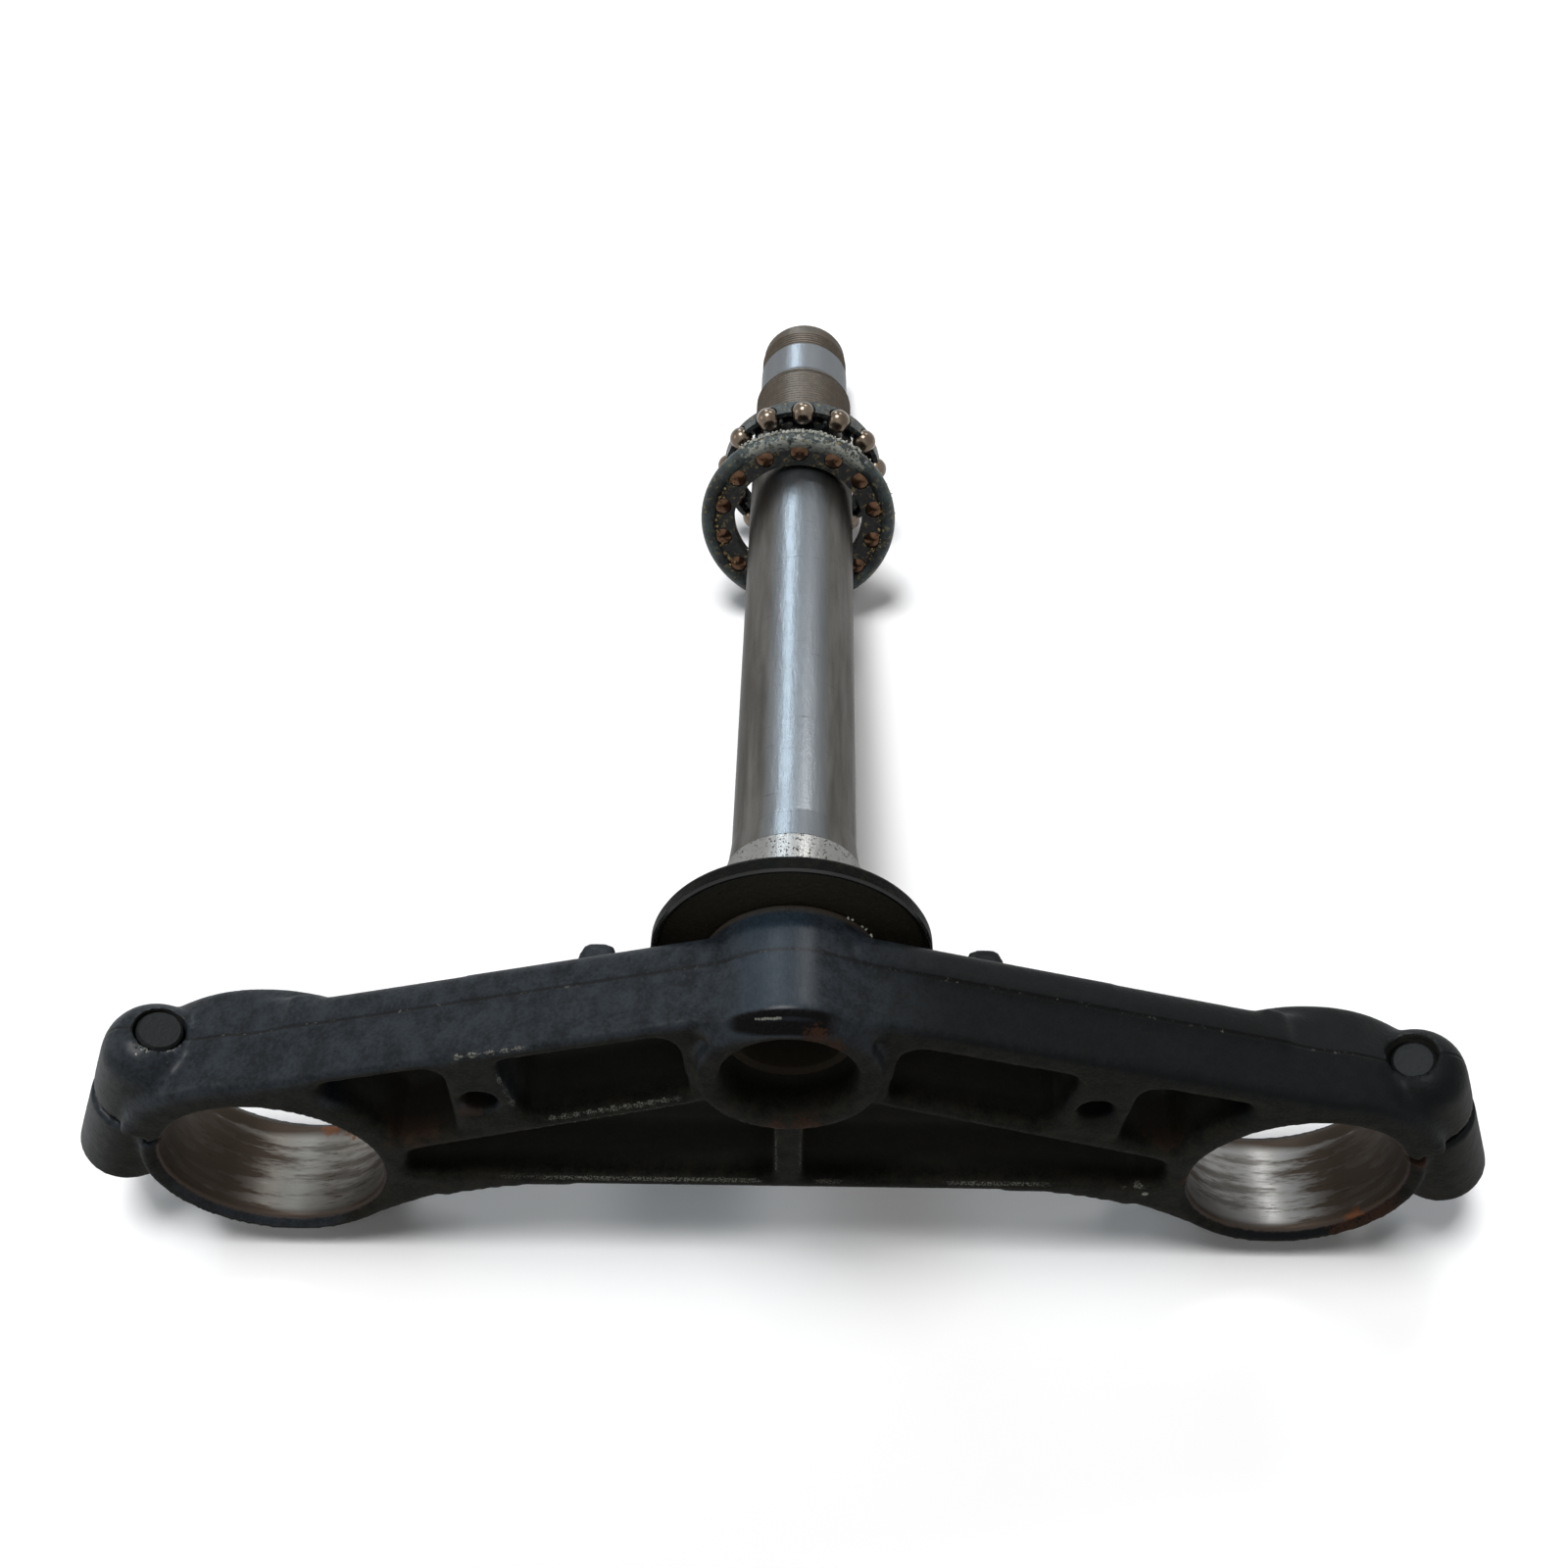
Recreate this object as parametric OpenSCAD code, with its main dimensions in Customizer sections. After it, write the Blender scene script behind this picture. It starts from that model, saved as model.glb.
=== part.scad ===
// Lower triple clamp of a motorcycle, with its steering stem, its dust seal and two loose ball cages.
// It lies as it comes to rest on a flat surface: on the front edges of both fork clamps and on the tip
// of the stem. Millimetres, +Z up, +X along the clamp, the stem pointing to +Y and a little down.
// Every piece is modelled round the stem: x across, y towards the forks, z up the stem from the
// underside of the clamp. The module lying() then lays the whole thing down.

/* [Fork clamps] */
// Distance between the two fork bores, centre to centre
fork_spacing = 194; // [184:0.5:210]
// Diameter of each fork bore
fork_d = 41; // [38:0.5:43]
// How far the fork bores sit in front of the stem
fork_offset = 38.5; // [35:0.5:43]
// Height of each fork clamp along its bore
clamp_h = 23; // [21:0.5:28]
// Wall of each fork clamp on its front and outer side
clamp_wall = 3.6; // [3.2:0.1:5]
// Wall of each fork clamp on its rear side
rear_wall = 7.5; // [6:0.1:9]
// Lead-in bevel at both ends of a fork bore
bore_bevel = 1.7; // [0.5:0.1:2.2]
// Bevel on the lower outer edges of the clamps
edge_bevel = 0.8; // [0.3:0.1:1.2]
// Bevel on the upper outer edges of the clamps
top_bevel = 1.5; // [0.5:0.1:2]

/* [Pinch lugs] */
// Turn of each pinch bolt out of the straight-ahead direction, in degrees
lug_turn = 23; // [15:0.5:28]
// Diameter of the round lug that holds a pinch bolt
lug_d = 18; // [17:0.1:20]
// Length of the lug behind the slit
lug_rear = 20; // [17:0.1:23]
// Length of the lug in front of the slit
lug_front = 21.6; // [19:0.1:26]
// How much further forward the right lug sits than the left one
lug_shift = 1.9; // [0:0.1:2.5]
// Rounding of the rear end of the lug
lug_round = 6.6; // [2:0.1:7.5]
// How far the bolt sits above the middle of its lug
bolt_lift = 0.9; // [0:0.1:1.5]
// Metal left between a fork bore and the pinch bolt's hole
lug_web = 1.3; // [1:0.1:3]
// Width of the slit that lets the clamp close
slit_w = 1.9; // [1:0.1:3]

/* [Pinch bolts] */
// Thread diameter of a pinch bolt
bolt_d = 8; // [6:1:9]
// Length of the left pinch bolt under its head
left_bolt_l = 32.1; // [28:0.1:34]
// Length of the right pinch bolt under its head
right_bolt_l = 30.4; // [26:0.1:34]
// Diameter of a pinch bolt's head
bolt_head_d = 13; // [10:0.5:13.5]
// Height of a pinch bolt's head
bolt_head_h = 8; // [5:0.5:8.5]
// Socket of a pinch bolt across its flats
socket_af = 6; // [4:1:7]
// Diameter of the relief hole round the bolt's tip
tip_hole_d = 9.3; // [9:0.1:12]
// Depth of the relief hole
tip_hole_depth = 4; // [2:0.5:6]

/* [Arms] */
// Height of the arms between the clamps
arm_h = 19; // [17:0.5:20.5]
// Distance from the stem axis to the point where the two rear walls would meet
rear_gap = 16.8; // [15.5:0.1:19]
// Sweep of the rear walls, in degrees
sweep = 15.6; // [13:0.1:17]
// Distance from the stem axis to the straight front edge
front_gap = 42; // [39:0.5:46]
// Radius of the hollow curve between the front edge and a clamp
front_curve_r = 62; // [50:1:75]
// Thickness of the rear and front walls of the arms
wall_t = 3.2; // [2.5:0.1:4.5]
// Extra thickness of the right rear wall, where the mould's core sat off centre
right_wall_extra = 2; // [0:0.1:2.5]
// Rounding of the rear walls' upper edge
top_round = 3.4; // [1.5:0.1:4.5]
// Radius of the hollow corner between a rear wall and the column
column_fillet = 10; // [4:0.5:14]
// Thickness of the top plate over the pockets
web_t = 5; // [3:0.5:7]
// Thickness of the slanting rib in each arm
rib_t = 3.5; // [2.5:0.1:5]
// Angle of the slanting ribs, in degrees
rib_angle = 18; // [16:0.5:20]
// Distance from the stem axis to the point where the slanting ribs would meet
rib_gap = 6.5; // [5:0.1:8]
// Thickness of the rib from the stem to the front edge
centre_rib_t = 5.4; // [3:0.1:7]
// Height of the mould's parting line over the underside
parting_z = 11.8; // [9:0.1:14]
// How far the upper half of the right rear wall stands out at the parting line
right_ledge = 0.9; // [0.2:0.1:1.4]
// How far the upper half of the left rear wall stands out at the parting line
left_ledge = 0.25; // [0.05:0.05:0.8]

/* [Block between the pockets] */
// Distance from the stem axis to the bracket hole in each arm
bracket_hole_x = 55; // [53:0.5:57]
// Distance of the bracket holes in front of the stem
bracket_hole_y = 14; // [12:0.5:16]
// Core diameter of the threaded bracket holes
bracket_hole_d = 6.6; // [5:0.1:7]
// Depth of the bracket holes
bracket_hole_depth = 15; // [10:0.5:17]
// Width of the solid block that carries a bracket hole
block_w = 11; // [10:0.5:13]

/* [Steering stops] */
// Distance from the stem axis to each stop
stop_x = 35; // [31:0.5:45]
// Width of a stop at its foot
stop_w = 8; // [6:0.5:12]
// Length of a stop from front to rear
stop_l = 9; // [6:0.5:12]
// Height of a stop over the arms
stop_h = 5.8; // [3:0.1:8]

/* [Stem boss] */
// Outer diameter of the ring under the arms
ring_d = 32.6; // [31:0.1:34]
// How far the ring stands out below the underside
ring_drop = 3.2; // [1:0.1:5]
// Diameter of the round column that carries the stem
column_d = 36; // [34.5:0.1:38]
// Diameter of the neck's seat for the washer
neck_d = 31; // [29.5:0.1:33]
// How far the column's brow stands out below the underside, over the cut at the ring's rear
column_drop = 1.4; // [0.3:0.1:2]
// Height of the neck's seat over the underside
neck_h = 23.2; // [21:0.1:26]
// How far the stem's lower end sits inside the ring
stem_recess = 8.5; // [4:0.5:12]

/* [Stem] */
// Diameter of the stem
stem_d = 24; // [22:0.1:25]
// Diameter of the bearing seat at the foot of the stem
seat_d = 26; // [25.4:0.1:27.5]
// Height of the top of the bearing seat over the underside
seat_top = 41.5; // [36:0.5:46]
// Height of the stem's tip over the underside
stem_top = 218; // [205:1:230]
// Diameter of the plain part near the tip
upper_d = 21.8; // [19:0.1:21.9]
// Length of the stem beyond its shoulder
upper_l = 23; // [16:0.5:30]
// Length of the thread under the shoulder
thread_l = 17; // [10:0.5:25]
// Length of the thread at the tip
tip_thread_l = 10; // [6:0.5:12]
// Depth of the thread grooves, which the solid's threaded length is turned down by
thread_depth = 0.3; // [0.1:0.05:0.5]
// Rounding of the tip
tip_round = 2.4; // [1:0.1:3]
// Bore through the stem
stem_bore_d = 16; // [12:0.5:18]
// Wider bore at the stem's foot
foot_bore_d = 20; // [18.5:0.5:20.5]
// Depth of the wider bore
foot_bore_l = 26; // [15:1:40]

/* [Dust seal] */
// Outer diameter of the rubber seal
seal_d = 51.2; // [46:0.1:56]
// Thickness of the rubber seal over the washer
seal_t = 1.6; // [1:0.1:2.5]
// Thickness of the steel washer under the rubber
washer_t = 1.2; // [0.8:0.1:2]
// Radial thickness of the seal's hanging rim
seal_rim_t = 1.1; // [0.8:0.1:2]
// How far the seal's rim hangs below the washer
seal_lip = 0.7; // [0.3:0.1:2]
// Height of the seal's collar round the stem
seal_collar_h = 1.6; // [0.8:0.1:2.5]
// How much the stem stands out under the seal, where the bearing's race comes to rest
seal_land = 0.3; // [0.2:0.1:0.8]
// Clearance of washer and seal round the stem
seal_play = 0.1; // [0.05:0.05:0.4]

/* [Ball cages] */
// Diameter of a ball in the lower cage
lower_ball_d = 6.35; // [5.5:0.05:6.5]
// Number of balls in the lower cage
lower_ball_count = 14; // [12:1:15]
// Diameter of a ball in the upper cage
upper_ball_d = 5.55; // [5:0.05:6]
// Number of balls in the upper cage
upper_ball_count = 13; // [11:1:15]
// How much wider the bore of a cage is than the stem
cage_play = 6.2; // [5.8:0.1:6.6]
// Thickness of a cage's sheet metal
cage_t = 1.1; // [0.8:0.1:1.5]
// Play of a ball in its pocket
ball_play = 0.12; // [0.08:0.01:0.2]
// Diameter of the round rim of the lower cage
bead_d = 3.8; // [3:0.1:4.4]
// How far the middle of that rim lies outside the circle of the ball centres
rim_reach = 2.7; // [2.2:0.1:4]
// Place of the lower cage along the stem
lower_cage_z = 153; // [90:0.5:154]
// Lean of the lower cage, in degrees
lower_cage_lean = 9.7; // [0:0.1:12]
// How far the lower cage hangs to the left
lower_cage_side = 0.7; // [0:0.1:1]
// How far the upper cage's sheet metal reaches outside the circle of its ball centres
upper_reach = 1.2; // [0.8:0.1:2]
// Place of the upper cage along the stem
upper_cage_z = 171; // [169:0.5:174]
// Gap between a hanging cage and the stem
hang_gap = 0.15; // [0.05:0.05:0.3]

/* [Hidden] */
$fn = 96;
eps = 0.01;

// Fork clamp, seen from its bore's centre
bore_r = fork_d / 2;
clamp_r = bore_r + clamp_wall;
rear_r = bore_r + rear_wall;
fork = [fork_spacing / 2, fork_offset];
lug_z = clamp_h / 2;
bolt_z = lug_z + bolt_lift;

// Pinch bolt: its axis passes the fork bore's centre at this distance
bolt_hole_d = bolt_d + 0.8;
bolt_reach = bore_r + lug_web + bolt_hole_d / 2;
head_hole_d = bolt_head_d + 0.8;
head_seat = lug_front - bolt_head_h - 0.6;
function lug_move(side) = side > 0 ? lug_shift : 0;
thread_play = 0.05;

// Rear wall line of the right arm, and the line through the middle of its slanting rib
function rear_y(x) = -rear_gap + x * tan(sweep);
function rib_y(x) = rib_gap + x * tan(rib_angle);
rib_half = rib_t / 2 / cos(rib_angle);
boss_r = column_d / 2;
ring_r = ring_d / 2;
pocket_floor = arm_h - web_t;
pocket_round = 3;
shoulder_turn = 80;

// Hollow corner between column and rear wall: its centre keeps the same distance from both
fillet_gap = rear_gap + column_fillet / cos(sweep);
fillet_reach = boss_r + column_fillet;
fillet_x = sin(sweep) * cos(sweep) * fillet_gap
    + cos(sweep) * sqrt(fillet_reach * fillet_reach - pow(fillet_gap * cos(sweep), 2));
fillet_y = -fillet_gap + fillet_x * tan(sweep);
fillet_from = atan2(-fillet_y, -fillet_x);
fillet_to = 90 + sweep;
rear_end = fork.x - rear_r / 2;

// Hollow curve: its centre lies straight in front of the point where the front edge ends
curve_reach = clamp_r + front_curve_r;
curve_y = front_gap + front_curve_r;
curve_x = fork.x - sqrt(curve_reach * curve_reach - (curve_y - fork.y) * (curve_y - fork.y));
curve_end = atan2(fork.y - curve_y, fork.x - curve_x);

// Stem
stem_r = stem_d / 2;
tip_r = upper_d / 2 - 0.4;
shoulder_z = stem_top - upper_l;
stem_foot = stem_recess - ring_drop;
seat_bevel = (seat_d - stem_d) / 2;
land_r = seat_d / 2 + seal_land;
seal_top = neck_h + washer_t + seal_t + seal_collar_h;

// Ball cages: the balls end flush with the bore of their cage
cage_r = stem_r + cage_play / 2;
lower_pitch_r = cage_r + lower_ball_d / 2;
upper_pitch_r = cage_r + upper_ball_d / 2;
plate_z = 1.4;

// Lying: the stem's tip and the clamps' far front edges touch the same flat surface
rest_a = fork.y + clamp_r - (tip_r - tip_round);
rest_d = stem_top - tip_round - (clamp_h - top_bevel);
dip = acos(tip_round / norm([rest_a, rest_d])) - atan2(rest_d, rest_a);
rest_h = (fork.y + clamp_r) * cos(dip) + (clamp_h - top_bevel) * sin(dip);
reach_back = -(fork.y + clamp_r - edge_bevel) * sin(dip);
reach_far = (stem_top - tip_round) * cos(dip) + (tip_r - tip_round) * sin(dip) + tip_round;

// Points of a closed outline with rounded corners; each corner is [x, y, radius]
function unit(v) = v / norm(v);
function swing(a) = a > 180 ? a - 360 : a < -180 ? a + 360 : a;
function corner_arc(a, b, c, r, n) =
    let (u = unit(a - b), w = unit(c - b), half = acos(u * w) / 2,
         m = b + unit(u + w) * r / sin(half),
         s = b + u * r / tan(half) - m, e = b + w * r / tan(half) - m,
         a0 = atan2(s.y, s.x), turn = swing(atan2(e.y, e.x) - a0))
    [for (i = [0:n]) m + r * [cos(a0 + turn * i / n), sin(a0 + turn * i / n)]];
function flat(p) = [p.x, p.y];
function rounded(p, n = 6) = [for (i = [0:len(p) - 1])
    let (a = flat(p[(i + len(p) - 1) % len(p)]), b = flat(p[i]), c = flat(p[(i + 1) % len(p)]))
    each (p[i].z == 0 ? [b] : corner_arc(a, b, c, p[i].z, n))];

module lying() {
    translate([0, -(reach_far + reach_back) / 2, rest_h])
        rotate([-90 - dip, 0, 0])
            children();
}

module both_sides() {
    children();
    mirror([1, 0, 0]) children();
}

// Places its children at a pinch lug, at the given height, with +Z along the bolt to the front
module at_lug(side, height) {
    translate([side * fork.x, fork.y, height])
        rotate([0, 0, -side * lug_turn])
            translate([side * bolt_reach, lug_move(side), 0])
                rotate([-90, 0, 0])
                    children();
}

module at_bolt(side) {
    at_lug(side, bolt_z) children();
}

// Round bar with its lower and its upper end edge bevelled
module bevelled_bar(r, h, low, high) {
    rotate_extrude()
        polygon([[0, 0], [r - low, 0], [r, low], [r, h - high], [r - high, h], [0, h]]);
}

// Rear edge of the right arm from the column to the clamp, moved outwards by grow
function rear_edge(grow) = concat(
    [for (i = [0:4]) let (a = -90 + (fillet_from - 90) * i / 4)
        (boss_r - 1.2 + (0.6 + grow) * i / 4) * [cos(a), sin(a)]],
    [for (i = [1:6]) let (a = fillet_from + (fillet_to - fillet_from) * i / 6)
        [fillet_x, fillet_y] + (column_fillet - grow) * [cos(a), sin(a)]],
    [[rear_end, rear_y(rear_end) - grow / cos(sweep)]]);

// Right half of the arms' outline, from the middle of the rear to the middle of the front
arm_half = concat(
    rear_edge(0),
    [for (a = [-shoulder_turn:6:-lug_turn - 16]) fork + (rear_r - 0.6) * [cos(a), sin(a)]],
    [fork + (clamp_r + 1) * [cos(lug_turn + 2), -sin(lug_turn + 2)], fork],
    [fork + (clamp_r - 0.6) * [cos(curve_end + 180), sin(curve_end + 180)]],
    [for (i = [7:-1:0]) let (a = -90 + (curve_end + 90) * i / 8)
        [curve_x, curve_y] + front_curve_r * [cos(a), sin(a)]]);

// Both arms, seen from below
module arm_plate() {
    linear_extrude(arm_h)
        polygon(concat(arm_half, [for (i = [len(arm_half) - 1:-1:1]) [-arm_half[i].x, arm_half[i].y]]));
}

// Bar that rounds the upper edge of the right rear wall, from the fillet to the clamp
module edge_rounding(step) {
    translate([0, -rear_gap, arm_h])
        rotate([0, 0, sweep])
            rotate([90, 0, 90])
                translate([-step, 0, 4])
                    linear_extrude(rear_end + 3)
                        polygon(concat([[-3, 1], [-3, -top_round]],
                            [for (i = [0:6]) let (a = 15 * i)
                                [top_round * (1 - cos(a)), -top_round * (1 - sin(a))]],
                            [[top_round, 1]]));
}

// Wall of one fork clamp: thick towards the rear, thin in front and outside
module clamp_wall_solid() {
    translate([fork.x, fork.y, 0]) {
        bevelled_bar(clamp_r, clamp_h, edge_bevel, top_bevel);
        intersection() {
            bevelled_bar(rear_r, clamp_h, edge_bevel, top_bevel);
            rotate([0, 0, -lug_turn])
                translate([-2 * rear_r, -2 * rear_r, -eps])
                    cube([4 * rear_r, 2 * rear_r, clamp_h + 1]);
        }
    }
}

// Round lug for a pinch bolt, with a rounded rear end
module pinch_lug(side) {
    r = lug_d / 2;
    at_lug(side, lug_z)
        rotate_extrude()
            polygon(concat(
                [[0, -lug_rear]],
                [for (i = [0:6]) let (a = -90 + 15 * i)
                    [r - lug_round, -lug_rear + lug_round] + lug_round * [cos(a), sin(a)]],
                [[r, lug_front - 1.5], [r - 1.5, lug_front], [0, lug_front]]));
}

// Bore and slit of the right fork clamp
module clamp_cuts() {
    translate([fork.x, fork.y, 0]) {
        translate([0, 0, -1]) cylinder(r = bore_r, h = clamp_h + 2);
        translate([0, 0, -eps]) cylinder(r1 = bore_r + bore_bevel, r2 = bore_r, h = bore_bevel);
        translate([0, 0, clamp_h - bore_bevel + eps])
            cylinder(r1 = bore_r, r2 = bore_r + bore_bevel, h = bore_bevel);
        rotate([0, 0, -lug_turn])
            translate([bore_r - 2, -slit_w / 2, -1])
                cube([bolt_reach + lug_d - bore_r, slit_w, clamp_h + 2]);
    }
}

// Stepped hole of a pinch bolt: relief at the tip, thread, clearance and room for the head
module lug_hole(side) {
    at_bolt(side) {
        translate([0, 0, -lug_rear - 1]) cylinder(d = tip_hole_d, h = tip_hole_depth + 1);
        translate([0, 0, -lug_rear]) cylinder(d = bolt_d + 2 * thread_play, h = lug_rear);
        translate([0, 0, -lug_move(side)]) cylinder(d = bolt_hole_d, h = lug_front);
        translate([0, 0, head_seat]) cylinder(d = head_hole_d, h = lug_front);
    }
}

// The three pockets of one arm, open to the underside; wall is the rear wall's thickness
module arm_pockets(wall) {
    top = function (x) rear_y(x) + wall / cos(sweep);
    rib_top = function (x) rib_y(x) - rib_half;
    rib_foot = function (x) rib_y(x) + rib_half;
    block_in = bracket_hole_x - block_w / 2 + 1.8;
    block_out = bracket_hole_x + block_w / 2;
    front = front_gap - wall_t;
    near = ring_r + 3;
    far = fork.x - bore_r - 4;
    difference() {
        translate([0, 0, -1]) linear_extrude(pocket_floor + 1) {
            polygon(rounded([[near, top(near), pocket_round + 1], [block_in, top(block_in), pocket_round],
                [block_in - 4, rib_top(block_in - 4), pocket_round], [near - 2, rib_top(near - 2), 1]]));
            polygon(rounded([[block_out + wall - wall_t, top(block_out + wall - wall_t), pocket_round],
                [fork.x - 14, top(fork.x - 14), 0], [fork.x - 14, rib_top(fork.x - 14), 0],
                [block_out, rib_top(block_out), 2]]));
            polygon(rounded([[centre_rib_t / 2, rib_foot(0), 0], [far - 2, rib_foot(far - 2), pocket_round],
                [far, front + 2, pocket_round], [far - 14, front, 20], [centre_rib_t / 2, front, 1.5]]));
        }
        cylinder(r = boss_r + 0.4, h = 3 * arm_h, center = true);
        translate([fork.x, fork.y, 0]) cylinder(r = bore_r + 4, h = 3 * clamp_h, center = true);
        translate([fork.x, fork.y, 0])
            rotate([0, 0, 180 + sweep])
                rotate_extrude(angle = 90)
                    translate([0, -1]) square([rear_r - 0.5, clamp_h]);
    }
}

// Thin band over the mould's parting line, along the column and one rear wall
module parting_ledge(step) {
    translate([0, 0, parting_z])
        linear_extrude(arm_h - parting_z)
            polygon(concat(rear_edge(step), [[rear_end + 8, rear_y(rear_end) + 1.2],
                [rear_end, rear_y(rear_end) + 3], [10, -8], [0, -8]]));
}

module steering_stop() {
    rear = rear_y(stop_x) + 5.6;
    translate([stop_x, rear + stop_l, arm_h - 1])
        rotate([90, 0, 0])
            linear_extrude(stop_l)
                polygon(rounded([[-stop_w / 2 - 0.4, 0, 0], [stop_w / 2 + 0.4, 0, 0],
                    [stop_w / 2 - 1.2, stop_h + 1, 1.6], [-stop_w / 2 + 1.2, stop_h + 1, 1.6]]));
}

// Column, neck and lower ring round the stem; the ring is cut back at its rear
module stem_boss() {
    shift = 10;
    reach = shift + stem_r + 1.6;
    rise = (ring_r - stem_r - 1.6) / (ring_drop - column_drop);
    difference() {
        rotate_extrude()
            polygon([[0, -column_drop], [boss_r - 0.7, -column_drop], [boss_r, -column_drop + 0.7],
                [boss_r, arm_h - 1.5], [boss_r - 1, arm_h], [neck_d / 2 + 0.6, neck_h - 0.9],
                [neck_d / 2, neck_h], [0, neck_h]]);
        translate([0, shift, -column_drop - 1]) cylinder(r = reach + 1, h = column_drop + 1);
    }
    intersection() {
        translate([0, 0, -ring_drop]) bevelled_bar(ring_r, ring_drop + 2, 0.5, 0.5);
        translate([0, shift, -ring_drop]) cylinder(r1 = reach, r2 = reach + 6 * rise, h = 6);
    }
}

module lower_yoke() {
    color([0.09, 0.1, 0.12]) lying() difference() {
        union() {
            difference() {
                union() {
                    arm_plate();
                    parting_ledge(right_ledge);
                    mirror([1, 0, 0]) parting_ledge(left_ledge);
                }
                edge_rounding(right_ledge);
                mirror([1, 0, 0]) edge_rounding(left_ledge);
            }
            both_sides() {
                clamp_wall_solid();
                steering_stop();
            }
            pinch_lug(1);
            pinch_lug(-1);
            stem_boss();
        }
        both_sides() {
            clamp_cuts();
            translate([bracket_hole_x, bracket_hole_y, -1])
                cylinder(d = bracket_hole_d, h = bracket_hole_depth + 1);
            translate([bracket_hole_x, bracket_hole_y, -eps])
                cylinder(d1 = bracket_hole_d + 1.2, d2 = bracket_hole_d, h = 0.6);
        }
        arm_pockets(wall_t + right_wall_extra);
        mirror([1, 0, 0]) arm_pockets(wall_t);
        lug_hole(1);
        lug_hole(-1);
        translate([0, 0, -ring_drop - 1]) cylinder(r = stem_r, h = neck_h + ring_drop + 2);
        translate([0, 0, -ring_drop - eps]) cylinder(r1 = stem_r + 0.7, r2 = stem_r, h = 0.7);
    }
}

// Hollow stem, turned from one bar: foot, bearing seat, shank, thread, shoulder and tip
module steering_stem() {
    color([0.62, 0.62, 0.62]) lying() difference() {
        rotate_extrude()
            polygon(concat(
                [[0, stem_foot], [stem_r - 0.8, stem_foot], [stem_r, stem_foot + 0.8], [stem_r, neck_h],
                 [land_r, neck_h], [land_r, seal_top - seal_land], [seat_d / 2, seal_top],
                 [seat_d / 2, seat_top], [seat_d / 2 - 0.3, seat_top + 0.4],
                 [stem_r + 0.3, seat_top + 4 * seat_bevel], [stem_r, seat_top + 7 * seat_bevel],
                 [stem_r, shoulder_z - thread_l], [stem_r - thread_depth, shoulder_z - thread_l + 0.5],
                 [stem_r - thread_depth, shoulder_z - 1.4], [upper_d / 2 + 0.2, shoulder_z + 0.6],
                 [upper_d / 2, shoulder_z + 2], [upper_d / 2, stem_top - tip_thread_l - 0.6],
                 [tip_r, stem_top - tip_thread_l]],
                [for (i = [0:6]) let (a = 15 * i)
                    [tip_r - tip_round, stem_top - tip_round] + tip_round * [cos(a), sin(a)]],
                [[0, stem_top]]));
        translate([0, 0, stem_foot - 1]) cylinder(d = stem_bore_d, h = stem_top);
        translate([0, 0, stem_foot - 1]) cylinder(d = foot_bore_d, h = foot_bore_l + 1);
        translate([0, 0, stem_foot - eps]) cylinder(d1 = foot_bore_d + 1.6, d2 = foot_bore_d, h = 0.8);
        translate([0, 0, stem_top - 1 + eps]) cylinder(d1 = stem_bore_d, d2 = stem_bore_d + 2, h = 1);
    }
}

// Flat steel washer on the neck, under the rubber seal
module seal_washer() {
    color([0.3, 0.24, 0.2]) lying()
        translate([0, 0, neck_h])
            difference() {
                bevelled_bar(seal_d / 2 - seal_rim_t - seal_play, washer_t, 0.2, 0.2);
                translate([0, 0, -1]) cylinder(r = land_r + seal_play, h = washer_t + 2);
            }
}

// Rubber seal over the washer, with a rim that hangs round it and a lip on the bearing seat
module dust_seal() {
    r = seal_d / 2;
    base = neck_h + washer_t;
    hole = land_r + seal_play;
    color([0.05, 0.05, 0.055]) lying()
        rotate_extrude()
            polygon([[hole, base], [r - seal_rim_t, base], [r - seal_rim_t, neck_h - seal_lip + 0.3],
                [r - seal_rim_t + 0.3, neck_h - seal_lip], [r - 0.4, neck_h - seal_lip],
                [r, neck_h - seal_lip + 0.4], [r, base + seal_t - 0.9], [r - 0.3, base + seal_t - 0.3],
                [r - 0.9, base + seal_t], [hole + 3, base + seal_t], [hole + 1.8, seal_top],
                [hole, seal_top]]);
}

// Places a cage on the stem: it hangs on the upper side, and its own axis leans
module hanging(z, lean, side) {
    play = cage_r * cos(lean) - (plate_z + cage_t) * sin(lean) - stem_r - hang_gap;
    translate([-side, sqrt(play * play - side * side), z]) rotate([-lean, 0, 0]) children();
}

module in_lower_cage() {
    hanging(lower_cage_z, lower_cage_lean, lower_cage_side) children();
}

module in_upper_cage() {
    hanging(upper_cage_z, 0, 0) children();
}

module ball_ring(count, pitch_r, r, facets) {
    for (i = [0:count - 1])
        rotate([0, 0, -90 + 360 / count * i])
            translate([pitch_r, 0, 0])
                sphere(r = r, $fn = facets);
}

// Cage of the lower bearing: a round rim outside, a thin plate with windows, a collar inside
module lower_bearing_cage() {
    rim = lower_pitch_r + rim_reach;
    color([0.2, 0.23, 0.23]) lying() in_lower_cage()
        difference() {
            union() {
                rotate_extrude() translate([rim, -plate_z]) circle(d = bead_d, $fn = 32);
                rotate_extrude()
                    polygon([[cage_r, -plate_z - cage_t], [rim, -plate_z - cage_t], [rim, -plate_z],
                        [cage_r + cage_t, -plate_z], [cage_r + cage_t, 1.6], [cage_r, 1.6]]);
            }
            ball_ring(lower_ball_count, lower_pitch_r, lower_ball_d / 2 + ball_play, 32);
        }
}

module lower_bearing_balls() {
    color([0.5, 0.4, 0.3]) lying() in_lower_cage()
        ball_ring(lower_ball_count, lower_pitch_r, lower_ball_d / 2, 48);
}

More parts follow.
